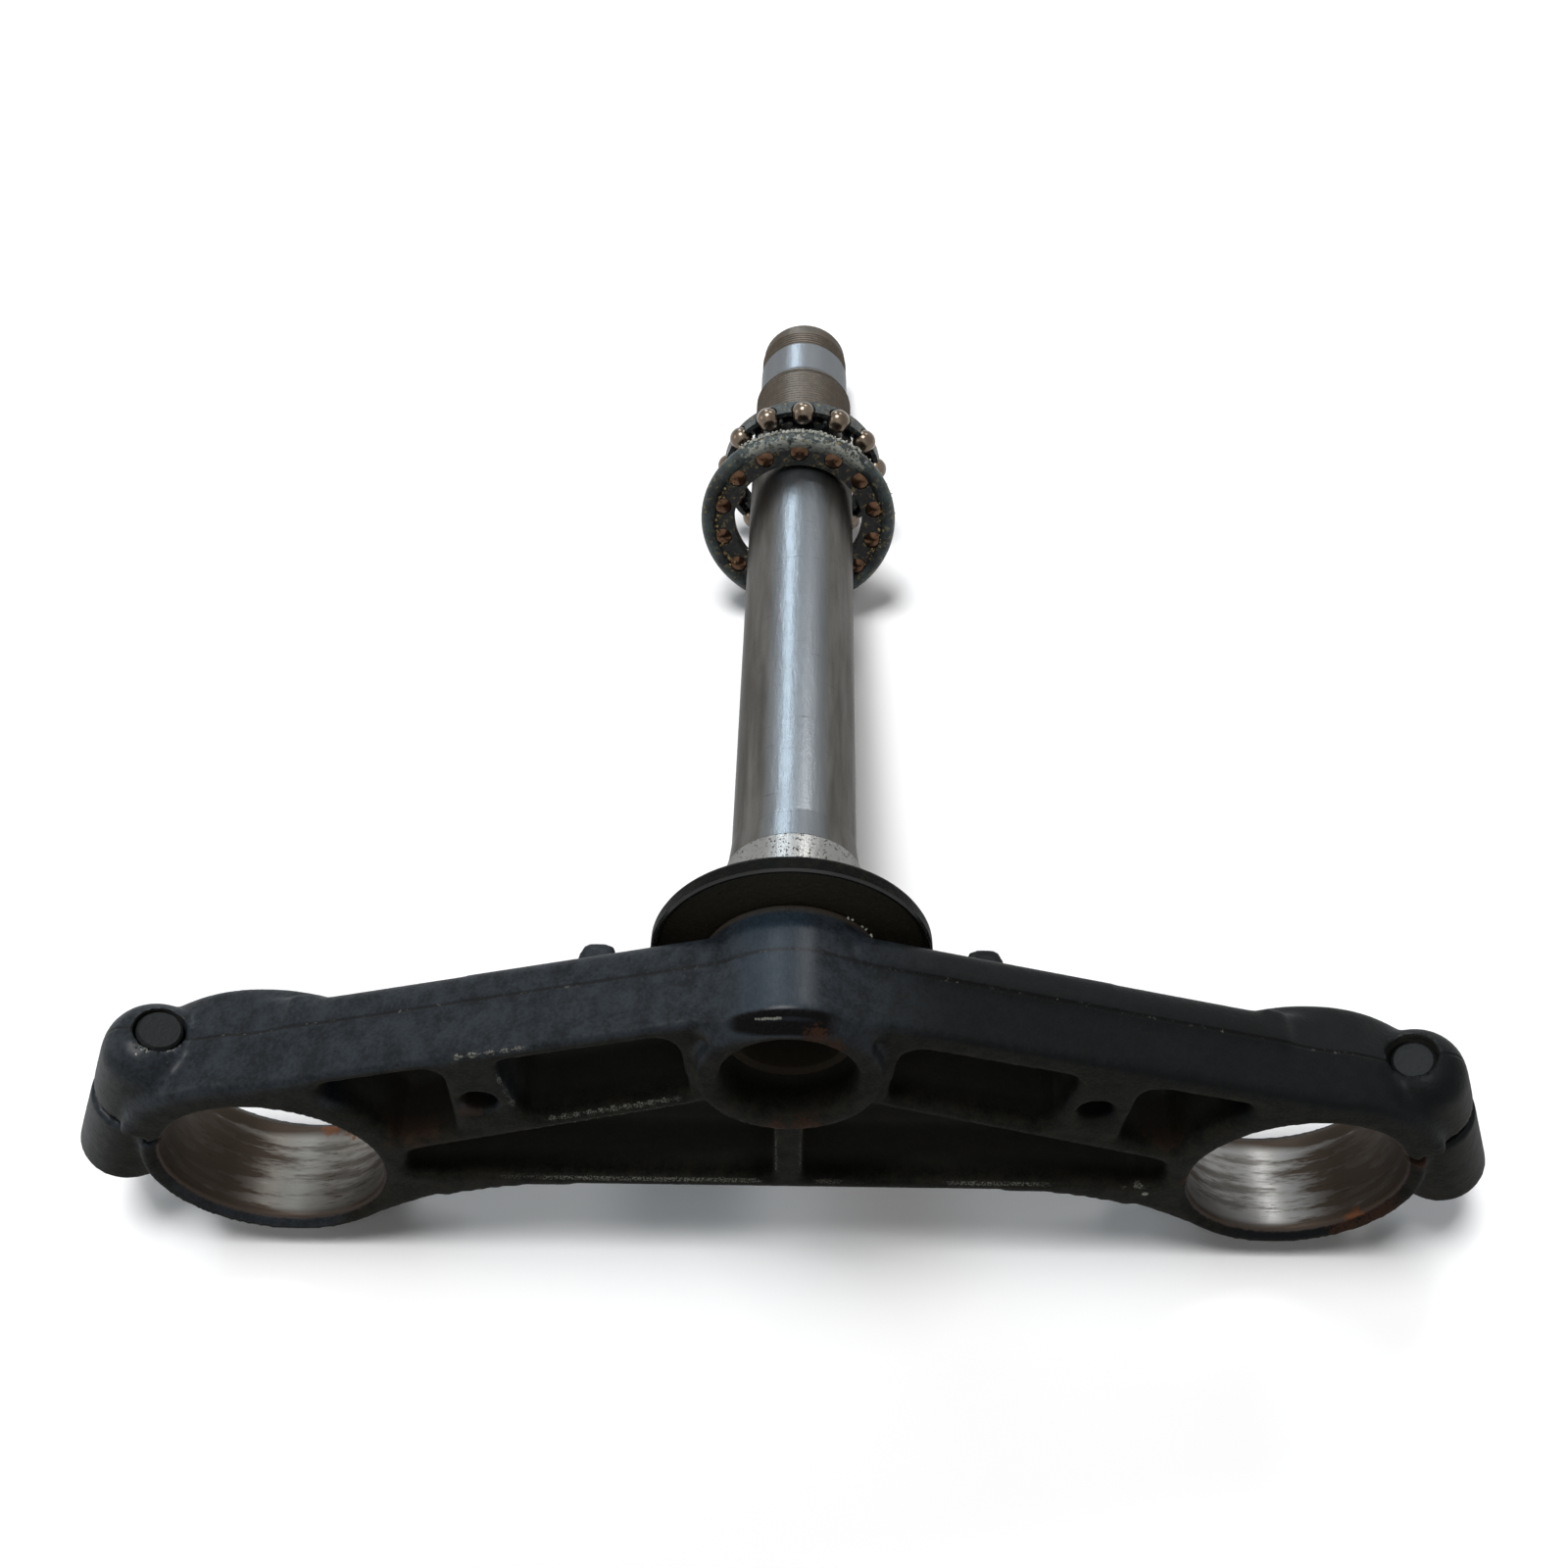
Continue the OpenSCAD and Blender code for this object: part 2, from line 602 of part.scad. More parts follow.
// Cage of the upper bearing: slimmer, and turned round, so its balls face the yoke
module upper_bearing_cage() {
    rim = upper_pitch_r + upper_reach;
    color([0.22, 0.23, 0.23]) lying() in_upper_cage()
        difference() {
            rotate_extrude()
                polygon([[cage_r, plate_z + 1.6 * cage_t], [rim, plate_z + 1.6 * cage_t], [rim, -1],
                    [rim - cage_t, -1], [rim - cage_t, plate_z], [cage_r + cage_t, plate_z],
                    [cage_r + cage_t, -1.4], [cage_r, -1.4]]);
            for (i = [0:upper_ball_count - 1])
                rotate([0, 0, -90 + 360 / upper_ball_count * i])
                    translate([cage_r - 1.5, 0, 0])
                        rotate([0, 90, 0])
                            cylinder(d = upper_ball_d + 2 * ball_play, h = rim, $fn = 48);
        }
}

module upper_bearing_balls() {
    color([0.5, 0.4, 0.3]) lying() in_upper_cage()
        ball_ring(upper_ball_count, upper_pitch_r, upper_ball_d / 2, 48);
}

// Socket-head bolt, screwed in from the front
module pinch_bolt(side, length) {
    r = bolt_d / 2;
    top = head_seat + bolt_head_h;
    tip = head_seat - length;
    lying() at_bolt(side) difference() {
        rotate_extrude()
            polygon([[0, tip], [r - 0.5, tip], [r, tip + 0.5], [r, head_seat], [bolt_head_d / 2, head_seat],
                [bolt_head_d / 2, top - 0.6], [bolt_head_d / 2 - 0.6, top], [0, top]]);
        translate([0, 0, top - bolt_head_h / 2])
            cylinder(d = socket_af / cos(30), h = bolt_head_h, $fn = 6);
    }
}

module left_pinch_bolt() { color([0.22, 0.22, 0.2]) pinch_bolt(-1, left_bolt_l); }
module right_pinch_bolt() { color([0.25, 0.27, 0.28]) pinch_bolt(1, right_bolt_l); }

lower_yoke();
steering_stem();
seal_washer();
dust_seal();
lower_bearing_cage();
lower_bearing_balls();
upper_bearing_cage();
upper_bearing_balls();
left_pinch_bolt();
right_pinch_bolt();
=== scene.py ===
# %% [markdown]
# # A motorcycle's lower triple clamp
# A triple clamp joins the two fork tubes of a motorcycle to its steering head. This one is the
# lower clamp, taken off a used bike: a ribbed casting in black paint, a turned steel stem, a
# rubber dust seal, and two ball cages that hang loosely on the stem. The exact solids come from
# the CAD model, and this lesson dresses them: it softens the casting's edges, adds threads and
# grease, and paints and wears each surface. It lies on a white table, on the front edges of its
# clamps and the tip of its stem.

# %% The frame: every CAD piece, in metres, where it lies
import bpy
import bmesh
import math
import numpy as np
from mathutils import Matrix, Vector


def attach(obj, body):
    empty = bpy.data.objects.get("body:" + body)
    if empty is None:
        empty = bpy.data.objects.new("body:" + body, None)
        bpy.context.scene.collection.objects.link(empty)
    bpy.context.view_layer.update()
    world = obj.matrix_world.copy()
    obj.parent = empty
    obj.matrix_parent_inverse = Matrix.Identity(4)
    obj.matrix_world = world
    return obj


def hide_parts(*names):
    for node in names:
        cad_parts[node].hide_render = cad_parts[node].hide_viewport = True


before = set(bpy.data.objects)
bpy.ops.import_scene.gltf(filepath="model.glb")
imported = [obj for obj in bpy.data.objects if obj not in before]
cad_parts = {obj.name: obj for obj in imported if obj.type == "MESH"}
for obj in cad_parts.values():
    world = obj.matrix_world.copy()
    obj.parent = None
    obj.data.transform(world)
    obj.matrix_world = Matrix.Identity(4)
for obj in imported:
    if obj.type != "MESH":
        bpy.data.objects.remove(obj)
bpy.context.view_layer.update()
print("CAD nodes:", sorted(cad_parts))

# %% [markdown]
# ## How the part lies
# Many details follow the stem or the fork bores, so they are easiest to describe round the stem:
# x across, y towards the forks, z up the stem from the clamp's underside, in millimetres. The
# part is tipped by DIP degrees and lifted to REST when it lies down. One matrix holds that, and
# its inverse takes a point on the table back to the stem.

# %% The stem's own coordinates
DIP = 15.0018
REST = (0.0, -98.3760, 66.0317)
LYING = Matrix.Translation(REST) @ Matrix.Rotation(math.radians(-90 - DIP), 4, "X")
TO_WORLD = Matrix.Scale(0.001, 4) @ LYING
TO_STEM = TO_WORLD.inverted()
print("stem tip in world mm:", [round(v, 1) for v in LYING @ Vector((0, 0, 218))])

# %% [markdown]
# ## The camera
# The photograph was taken from about 40 cm away, in front of the clamp and above it, looking
# steeply down. The camera's place was worked out from the outlines of the clamp, so these numbers
# put every edge of the model on the same edge of the photograph. The small shift says that the
# photograph was cropped.

# %% Camera
def link_object(name, data):
    made = bpy.data.objects.new(name, data)
    bpy.context.scene.collection.objects.link(made)
    return made


camera_data = bpy.data.cameras.new("camera")
camera_data.sensor_width = 36.0
camera_data.lens = 37.4265
camera_data.shift_x = -0.03083
camera_data.shift_y = -0.01444
camera_data.clip_start = 0.01
camera = link_object("camera", camera_data)
TO_RIGHT = Vector((0.99961854, 0.00748748, 0.02658402))
TO_FOOT = Vector((0.01916674, -0.88109638, -0.47254820))
AHEAD = Vector((0.01988489, 0.47287747, -0.88090379))
turned_camera = Matrix((TO_RIGHT, -TO_FOOT, -AHEAD)).transposed().to_4x4()
camera.matrix_world = Matrix.Translation((0.000792, -0.184619, 0.337636)) @ turned_camera
bpy.context.scene.camera = camera
print("camera looks down by", round(math.degrees(math.asin(-AHEAD.z)), 1), "degrees")

# %% [markdown]
# ## Table and light
# The photograph's background is white, with one soft grey shadow under the clamp. A white floor
# takes the shadow. The floor and the pale room are plain white to the camera and in reflections,
# but they light the part only as a white table in a dim room would. The main light is a wide
# lamp, high up and to the left. A narrow window behind draws the long highlight on the stem and
# the blue-grey sheen on the left walls, and weaker lamps at the sides and behind the camera fill
# the rest.

# %% Table
bpy.context.scene.view_settings.view_transform = "Standard"
HALF = 6.0
corners = [(-HALF, -HALF, 0), (HALF, -HALF, 0), (HALF, HALF, 0), (-HALF, HALF, 0)]
floor_mesh = bpy.data.meshes.new("table_top")
floor_mesh.from_pydata(corners, [], [(0, 1, 2, 3)])
table_top = link_object("table_top", floor_mesh)
print("table top is", 2 * HALF, "m wide")

# %% White for the camera and for shiny surfaces
def shown_white(tree, low, high):
    """A value that is high where the camera, a reflection or glass looks, and low for the light."""
    rays = tree.nodes.new("ShaderNodeLightPath")
    seen = rays.outputs["Is Camera Ray"]
    for ray in ("Is Glossy Ray", "Is Transmission Ray"):
        either = tree.nodes.new("ShaderNodeMath")
        either.operation = "MAXIMUM"
        tree.links.new(seen, either.inputs[0])
        tree.links.new(rays.outputs[ray], either.inputs[1])
        seen = either.outputs[0]
    level = tree.nodes.new("ShaderNodeMapRange")
    level.inputs["To Min"].default_value = low
    level.inputs["To Max"].default_value = high
    tree.links.new(seen, level.inputs["Value"])
    return level.outputs["Result"]


TABLE, TABLE_SEEN = 0.8, 1.0
white = bpy.data.materials.new("white_table")
white.use_nodes = True
nodes = white.node_tree.nodes
nodes.clear()
diffuse = nodes.new("ShaderNodeBsdfDiffuse")
output = nodes.new("ShaderNodeOutputMaterial")
white.node_tree.links.new(shown_white(white.node_tree, TABLE, TABLE_SEEN), diffuse.inputs["Color"])
white.node_tree.links.new(diffuse.outputs[0], output.inputs["Surface"])
floor_mesh.materials.append(white)
print("table is seen", round(TABLE_SEEN / TABLE, 2), "times brighter than it lights")

# %% The room
ROOM, ROOM_SEEN = 0.07, 1.0
world = bpy.data.worlds.new("pale_room")
bpy.context.scene.world = world
world.use_nodes = True
background = world.node_tree.nodes["Background"].inputs
background["Color"].default_value = (1, 1, 1, 1)
world.node_tree.links.new(shown_white(world.node_tree, ROOM, ROOM_SEEN), background["Strength"])
print("the room lights the part with", ROOM)

# %% Windows: soft lamps that look at the part
def window(name, bearing, height, distance, size, watts, tint=(1, 1, 1)):
    """bearing: degrees from straight behind, to the right. height: degrees over the table."""
    b, h = math.radians(bearing), math.radians(height)
    place = distance * Vector((math.sin(b) * math.cos(h), math.cos(b) * math.cos(h), math.sin(h)))
    data = bpy.data.lights.new(name, "AREA")
    data.shape = "RECTANGLE"
    data.size, data.size_y = size
    data.energy = watts
    data.color = tint
    lamp = link_object(name, data)
    lamp.location = place
    lamp.rotation_euler = (-place).to_track_quat("-Z", "Y").to_euler()


window("ceiling", -42, 75, 3.0, (1.0, 1.0), 83.0)
window("rear_window", -15, 26, 2.0, (0.36, 0.95), 9.5, (0.78, 0.90, 1.0))
window("left_window", -88, 24, 2.0, (0.8, 0.8), 4.0)
window("side_window", 20, 41, 2.0, (0.34, 0.34), 6.0)
window("room_behind_camera", 178, 56, 2.5, (1.8, 1.8), 4.0)

# %% [markdown]
# ## The casting
# The yoke is a casting, so its edges are soft and its inner corners are filled, while the fork
# bores are cut afterwards and stay crisp. A bevel on every edge of such a ribbed solid would
# break where many short edges meet. Here the solid is turned into an even skin of small squares
# instead, as clay would be, and that skin is smoothed everywhere but in the machined bores.

# %% A merged copy of a CAD node, in stem coordinates
WELD = 2e-7


def stem_copy(node, name):
    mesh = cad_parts[node].data.copy()
    mesh.name = name
    grid = bmesh.new()
    grid.from_mesh(mesh)
    bmesh.ops.remove_doubles(grid, verts=grid.verts, dist=WELD)
    grid.to_mesh(mesh)
    grid.free()
    mesh.materials.clear()
    mesh.transform(TO_STEM)
    return link_object(name, mesh)


def baked(piece):
    """The piece with its modifiers turned into plain mesh."""
    done = bpy.data.meshes.new_from_object(
        piece.evaluated_get(bpy.context.evaluated_depsgraph_get()))
    old = piece.data
    piece.modifiers.clear()
    piece.data = done
    bpy.data.meshes.remove(old)
    return done


casting = stem_copy("lower_yoke", "yoke_casting")
print("merged casting:", len(casting.data.vertices), "points")

# %% An even skin
SKIN = 0.75
skin = casting.modifiers.new("even skin", "REMESH")
skin.mode = "VOXEL"
skin.voxel_size = SKIN
skin_mesh = baked(casting)
print("skin:", len(skin_mesh.vertices), "points,", len(skin_mesh.polygons), "faces")

# %% [markdown]
# ## The machined surfaces
# A lathe or a drill leaves true circles, which the even skin only follows in small steps. Each
# point near such a surface is put back on it. A round surface is given by its profile, a chain of
# straight lines in (radius, height), and each point goes to the nearest place on that chain.

# %% Points of a mesh as one table of numbers
def points_of(mesh):
    flat = np.empty(len(mesh.vertices) * 3, np.float32)
    mesh.vertices.foreach_get("co", flat)
    return flat.reshape(-1, 3).astype(float)


def put_points(mesh, points):
    mesh.vertices.foreach_set("co", points.astype(np.float32).ravel())
    mesh.update()


def nearest_on_profile(r, z, profile):
    """For each (r, z), the nearest point on a chain of straight lines, and its distance."""
    best_r, best_z, best_d = r.copy(), z.copy(), np.full(len(r), 1e9)
    for (r0, z0), (r1, z1) in zip(profile[:-1], profile[1:]):
        step = np.array([r1 - r0, z1 - z0])
        k = np.clip(((r - r0) * step[0] + (z - z0) * step[1]) / (step @ step), 0, 1)
        pr, pz = r0 + k * step[0], z0 + k * step[1]
        d = np.hypot(r - pr, z - pz)
        near = d < best_d
        best_r[near], best_z[near], best_d[near] = pr[near], pz[near], d[near]
    return best_r, best_z, best_d


# %% Fork bores, with their bevels
FORK_X, FORK_Y, CLAMP_H = 97.0, 38.5, 23.0
BORE_R, BORE_BEVEL, FLAT_BELOW, FLAT_ABOVE = 20.5, 1.7, 1.0, 0.6
BORE_REACH, BORE_WIDEST = 0.75, 23.1
MOUTH_R = BORE_R + BORE_BEVEL
bore_profile = [(MOUTH_R + FLAT_BELOW, 0), (MOUTH_R, 0), (BORE_R, BORE_BEVEL),
                (BORE_R, CLAMP_H - BORE_BEVEL), (MOUTH_R, CLAMP_H), (MOUTH_R + FLAT_ABOVE, CLAMP_H)]


def true_up(points, axis_x, axis_y, profile, reach, widest):
    """Puts the points near a profile round an upright axis on it, and returns which those are."""
    dx, dy = points[:, 0] - axis_x, points[:, 1] - axis_y
    r = np.hypot(dx, dy)
    pr, pz, d = nearest_on_profile(r, points[:, 2], profile)
    near = (d < reach) & (r < widest)
    points[near, 0] = axis_x + dx[near] * pr[near] / r[near]
    points[near, 1] = axis_y + dy[near] * pr[near] / r[near]
    points[near, 2] = pz[near]
    return near


points = points_of(skin_mesh)
machined = np.zeros(len(points), bool)
for side in (-1, 1):
    machined |= true_up(points, side * FORK_X, FORK_Y, bore_profile, BORE_REACH, BORE_WIDEST)
print("points on the fork bores:", int(machined.sum()))

# %% Relief holes at the tips of the pinch bolts
LUG_TURN, BOLT_REACH, BOLT_Z, LUG_REAR, RIGHT_LUG_OUT = 23.0, 26.2, 12.4, 20.0, 1.9
RELIEF_R, RELIEF_DEPTH, RELIEF_REACH, RELIEF_WIDEST = 4.65, 3.4, 0.7, 5.4


def at_bolt(side):
    """Matrix from a pinch bolt's own coordinates, z along it to the front, to the stem's."""
    fork = Matrix.Translation((side * FORK_X, FORK_Y, BOLT_Z))
    swing = Matrix.Rotation(math.radians(-side * LUG_TURN), 4, "Z")
    out = Matrix.Translation((side * BOLT_REACH, RIGHT_LUG_OUT if side > 0 else 0.0, 0))
    return fork @ swing @ out @ Matrix.Rotation(math.radians(-90), 4, "X")


relief_profile = [(RELIEF_R, -LUG_REAR + RELIEF_DEPTH), (RELIEF_R, -LUG_REAR)]
for side in (-1, 1):
    there = np.array(at_bolt(side))
    back = np.linalg.inv(there)
    own = points @ back[:3, :3].T + back[:3, 3]
    hole = true_up(own, 0, 0, relief_profile, RELIEF_REACH, RELIEF_WIDEST)
    points[hole] = (own @ there[:3, :3].T + there[:3, 3])[hole]
    machined |= hole
print("machined points:", int(machined.sum()))

# %% [markdown]
# ## The cast surfaces
# Smoothing draws the casting's outer edges in. The front wall shows this most, so its edge starts
# a little further forward. Then the cast surfaces are smoothed, most of all where the lugs and
# clamps grow out of the walls.

# %% Front wall
WALL_HALF, WALL_FROM, WALL_RAMP, WALL_SHIFT = 66, 36, 2, 1.0
front_wall = (np.abs(points[:, 0]) < WALL_HALF) & (points[:, 1] > WALL_FROM) & ~machined
forward = np.clip((points[front_wall, 1] - WALL_FROM) / WALL_RAMP, 0, 1)
points[front_wall, 1] += WALL_SHIFT * forward
put_points(skin_mesh, points)
print("front wall points:", int(front_wall.sum()))

# %% Smoothing
BLEND_FROM_X, BLEND_TO_Y = 58, 24


def soften(name, chosen, iterations):
    group = casting.vertex_groups.new(name=name)
    group.add([int(i) for i in np.nonzero(chosen)[0]], 1.0, "REPLACE")
    change = casting.modifiers.new(name, "SMOOTH")
    change.factor, change.iterations = 0.5, iterations
    change.vertex_group = name


soften("soft cast edges", ~machined, 5)
lugs = (np.abs(points[:, 0]) > BLEND_FROM_X) & (points[:, 1] < BLEND_TO_Y)
soften("soft blends", ~machined & lugs, 20)
cast_mesh = baked(casting)
cast_mesh.transform(TO_WORLD)
cast_mesh.polygons.foreach_set("use_smooth", [True] * len(cast_mesh.polygons))
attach(casting, "root")
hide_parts("lower_yoke")
print("casting:", 2 * len(cast_mesh.polygons), "triangles")

# %% [markdown]
# ## Small helpers for shaders
# Each material below is a few lines, because these helpers add a node, set its sockets and link
# them. Colours are written as a paint chart gives them, from 0 to 255, and turned into the linear
# values that the renderer works with.

# %% Helpers
def tone(r, g, b):
    """A colour from a paint chart, 0 to 255, as linear values."""
    return tuple((v / 255 / 12.92) if v < 10.3 else ((v / 255 + 0.055) / 1.055) ** 2.4
                 for v in (r, g, b)) + (1.0,)


def plug(tree, value, socket):
    """Links an output to a socket, or sets the socket's own value."""
    if isinstance(value, bpy.types.NodeSocket):
        tree.links.new(value, socket)
    else:
        socket.default_value = value


def node(tree, kind, settings=None, **sockets):
    """A node. Its sockets are named with _ for a blank, or s0, s1 and so on by their number."""
    made = tree.nodes.new(kind)
    for key, value in (settings or {}).items():
        setattr(made, key, value)
    for key, value in sockets.items():
        number = key[0] == "s" and key[1:].isdigit()
        plug(tree, value, made.inputs[int(key[1:]) if number else key.replace("_", " ")])
    return made


def add(tree, kind, settings=None, **sockets):
    return node(tree, "ShaderNode" + kind, settings, **sockets)


def calc(tree, operation, a, b=0.0, clamp=False):
    return add(tree, "Math", {"operation": operation, "use_clamp": clamp}, s0=a, s1=b).outputs[0]


def times(tree, a, b):
    return calc(tree, "MULTIPLY", a, b)


def step(tree, value, low, high):
    """0 below low and 1 above high, or the other way round, with a soft change between them."""
    return add(tree, "MapRange", {"interpolation_type": "SMOOTHSTEP"}, Value=value,
               From_Min=low, From_Max=high).outputs["Result"]


def mixed(tree, mask, a, b):
    """Colour a where the mask is 0 and b where it is 1."""
    return add(tree, "Mix", {"data_type": "RGBA"}, s0=mask, s6=a, s7=b).outputs[2]


def tinted(tree, colour, mask, strength, new):
    """The colour with a new one laid over it, at this strength where the mask is 1."""
    return mixed(tree, times(tree, mask, strength), colour, new)


def between(tree, mask, a, b):
    """Number a where the mask is 0 and b where it is 1."""
    return add(tree, "Mix", {"data_type": "FLOAT"}, s0=mask, s2=a, s3=b).outputs[0]


def zone(tree, value, heights):
    """1 in a zone of four heights: it fades in over the first two and out over the last two."""
    first, full, last, gone = heights
    return times(tree, step(tree, value, first, full), step(tree, value, gone, last))


def noise(tree, place, scale, detail=3.0, rough=0.55):
    return add(tree, "TexNoise", None, Vector=place, Scale=scale, Detail=detail,
               Roughness=rough).outputs["Fac"]


def split(tree, vector):
    return add(tree, "SeparateXYZ", None, Vector=vector).outputs


def distance(tree, a, b=(0, 0, 0)):
    return add(tree, "VectorMath", {"operation": "DISTANCE"}, s0=a, s1=b).outputs["Value"]


def bumped(tree, height, depth):
    """A normal that follows the relief. The depth is in metres for a height of 1."""
    return add(tree, "Bump", None, Strength=1.0, Distance=depth, Height=height).outputs[0]


def stretched(tree, place, scale):
    """Place with each axis scaled, so that a pattern is drawn out where the scale is small."""
    return add(tree, "VectorMath", {"operation": "MULTIPLY"}, s0=place, s1=scale).outputs[0]


def group(name, inputs, outputs, tree_kind="ShaderNodeTree"):
    """An empty node group with its sockets. Returns its tree and its input and output nodes."""
    tree = bpy.data.node_groups.new(name, tree_kind)
    for label, kind, default in inputs:
        socket = tree.interface.new_socket(label, in_out="INPUT", socket_type="NodeSocket" + kind)
        if default is not None:
            socket.default_value = default
    for label, kind in outputs:
        tree.interface.new_socket(label, in_out="OUTPUT", socket_type="NodeSocket" + kind)
    return tree, tree.nodes.new("NodeGroupInput").outputs, tree.nodes.new("NodeGroupOutput").inputs


def use(tree, made_group, **sockets):
    """Places a group in a material and returns its outputs."""
    placed = tree.nodes.new("ShaderNodeGroup")
    placed.node_tree = made_group
    for key, value in sockets.items():
        plug(tree, value, placed.inputs[key.replace("_", " ")])
    return placed.outputs


def material(name, **sockets):
    """A Principled material. Values that are the same all over go straight on the shader."""
    made = bpy.data.materials.new(name)
    made.use_nodes = True
    shader = made.node_tree.nodes["Principled BSDF"]
    for key, value in sockets.items():
        shader.inputs[key.replace("_", " ")].default_value = value
    return made, made.node_tree, shader


def feed(tree, shader, **sockets):
    for key, output in sockets.items():
        tree.links.new(output, shader.inputs[key.replace("_", " ")])


print("black paint as a tone:", [round(v, 4) for v in tone(20, 21, 23)[:3]])

# %% [markdown]
# ## Where a point is on the part
# Rust, streaks and stains on this part sit at known places round the stem and the fork bores.
# This group reads Object coordinates and turns them into the stem's coordinates in millimetres,
# with the same tip and lift as above. All the materials share it, so a stain keeps its place on
# every piece.

# %% Group: place on the stem
TIP_BACK = (math.radians(90 + DIP), 0, 0)
on_stem, _, out = group("place on the stem", [],
                        [("Place", "Vector"), ("Across", "Float"), ("Forward", "Float"),
                         ("Up", "Float"), ("Radius", "Float"), ("Facing", "Vector")])
coordinates = add(on_stem, "TexCoord")
stand_up = add(on_stem, "Mapping", {"vector_type": "POINT"}, Vector=coordinates.outputs["Object"],
               Location=TO_STEM.translation, Rotation=TIP_BACK, Scale=(1000, 1000, 1000)).outputs[0]
facing = add(on_stem, "Mapping", {"vector_type": "POINT"}, Vector=coordinates.outputs["Normal"],
             Rotation=TIP_BACK).outputs[0]
axes = split(on_stem, stand_up)
from_axis = distance(on_stem, stretched(on_stem, stand_up, (1, 1, 0)))
for socket, value in zip(out, (stand_up, axes[0], axes[1], axes[2], from_axis, facing)):
    on_stem.links.new(value, socket)
print("the stem's foot is at", [round(v, 1) for v in TO_STEM.translation], "mm")

# %% [markdown]
# ## Effects that several finishes share
# A fork bore's mask tells the bare machined steel from the paint round it. It measures the
# distance to the nearer bore's axis, which is mirrored left and right, so one group serves both
# bores.

# %% Group: fork bore
PAINT_R, BARE_R = BORE_R + 0.75, BORE_R + 0.35
bore_group, take, out = group("fork bore", [
    ("Place", "Vector", (0, 0, 0)), ("Ragged", "Float", 0.2)],
    [("Bare", "Float"), ("Round", "Vector")])
parts = split(bore_group, take["Place"])
side = calc(bore_group, "SUBTRACT", calc(bore_group, "ABSOLUTE", parts[0]), FORK_X)
front = calc(bore_group, "SUBTRACT", parts[1], FORK_Y)
from_axis = add(bore_group, "CombineXYZ", None, X=side, Y=front, Z=0.0).outputs[0]
uneven = calc(bore_group, "SUBTRACT", noise(bore_group, take["Place"], 0.9), 0.5)
rough_edge = times(bore_group, uneven, take["Ragged"])
radius = calc(bore_group, "ADD", distance(bore_group, from_axis), rough_edge)
bare = step(bore_group, radius, PAINT_R, BARE_R)
whole = add(bore_group, "CombineXYZ", None, X=side, Y=front, Z=parts[2]).outputs[0]
for socket, value in zip(out, (bare, whole)):
    bore_group.links.new(value, socket)
print("bare below a radius of", BARE_R, "mm, painted above", PAINT_R, "mm")

# %% [markdown]
# A soft round patch at one place, torn at its edge by noise, makes rust, dirt, a lost flake of
# paint or a smear of grease. It is a group because the casting alone carries a dozen of them.

# %% Group: torn patch
TEAR = 2.5
patch_group, take, out = group("torn patch", [
    ("Place", "Vector", (0, 0, 0)), ("Centre", "Vector", (0, 0, 0)), ("Size", "Float", 5.0),
    ("Torn", "Float", 0.6), ("Grain", "Float", 0.8)], [("Mask", "Float")])
apart = distance(patch_group, take["Place"], take["Centre"])
near = calc(patch_group, "DIVIDE", apart, take["Size"])
ragged = noise(patch_group, take["Place"], take["Grain"], 5.0, 0.65)
torn = times(patch_group, calc(patch_group, "SUBTRACT", ragged, 0.5), take["Torn"])
final = calc(patch_group, "ADD", near, times(patch_group, torn, TEAR))
patch_group.links.new(step(patch_group, final, 1.0, 0.55), out[0])
print("a patch fades over the outer half of its size")


def patches(tree, place, spots, torn=0.6, grain=0.8):
    """One mask for several patches, each (x, y, z, size) in millimetres on the stem."""
    mask = 0.0
    for x, y, z, size in spots:
        one = use(tree, patch_group, Place=place, Centre=(x, y, z), Size=size, Torn=torn,
                  Grain=grain)
        mask = calc(tree, "MAXIMUM", mask, one["Mask"])
    return mask


# %% [markdown]
# Paint wears through first where an edge stands out. The renderer's pointiness says how sharply
# the surface bends outwards at each point, and noise breaks the worn line into single chips.

# %% Group: chipped edges
chip_group, take, out = group("chipped edges", [
    ("Place", "Vector", (0, 0, 0)), ("Reach", "Float", 0.06), ("Chips", "Float", 0.5),
    ("Grain", "Float", 2.0)], [("Chip", "Float")])
bend = add(chip_group, "NewGeometry").outputs["Pointiness"]
edge = step(chip_group, bend, 0.5, calc(chip_group, "ADD", 0.5, take["Reach"]))
fine = noise(chip_group, take["Place"], take["Grain"], 4.0, 0.7)
limit = times(chip_group, calc(chip_group, "SUBTRACT", 1.0, take["Chips"]), 0.7)
chip = step(chip_group, times(chip_group, edge, fine), limit,
            calc(chip_group, "ADD", limit, 0.06))
chip_group.links.new(chip, out[0])
print("chips show where an outward edge meets bright noise")
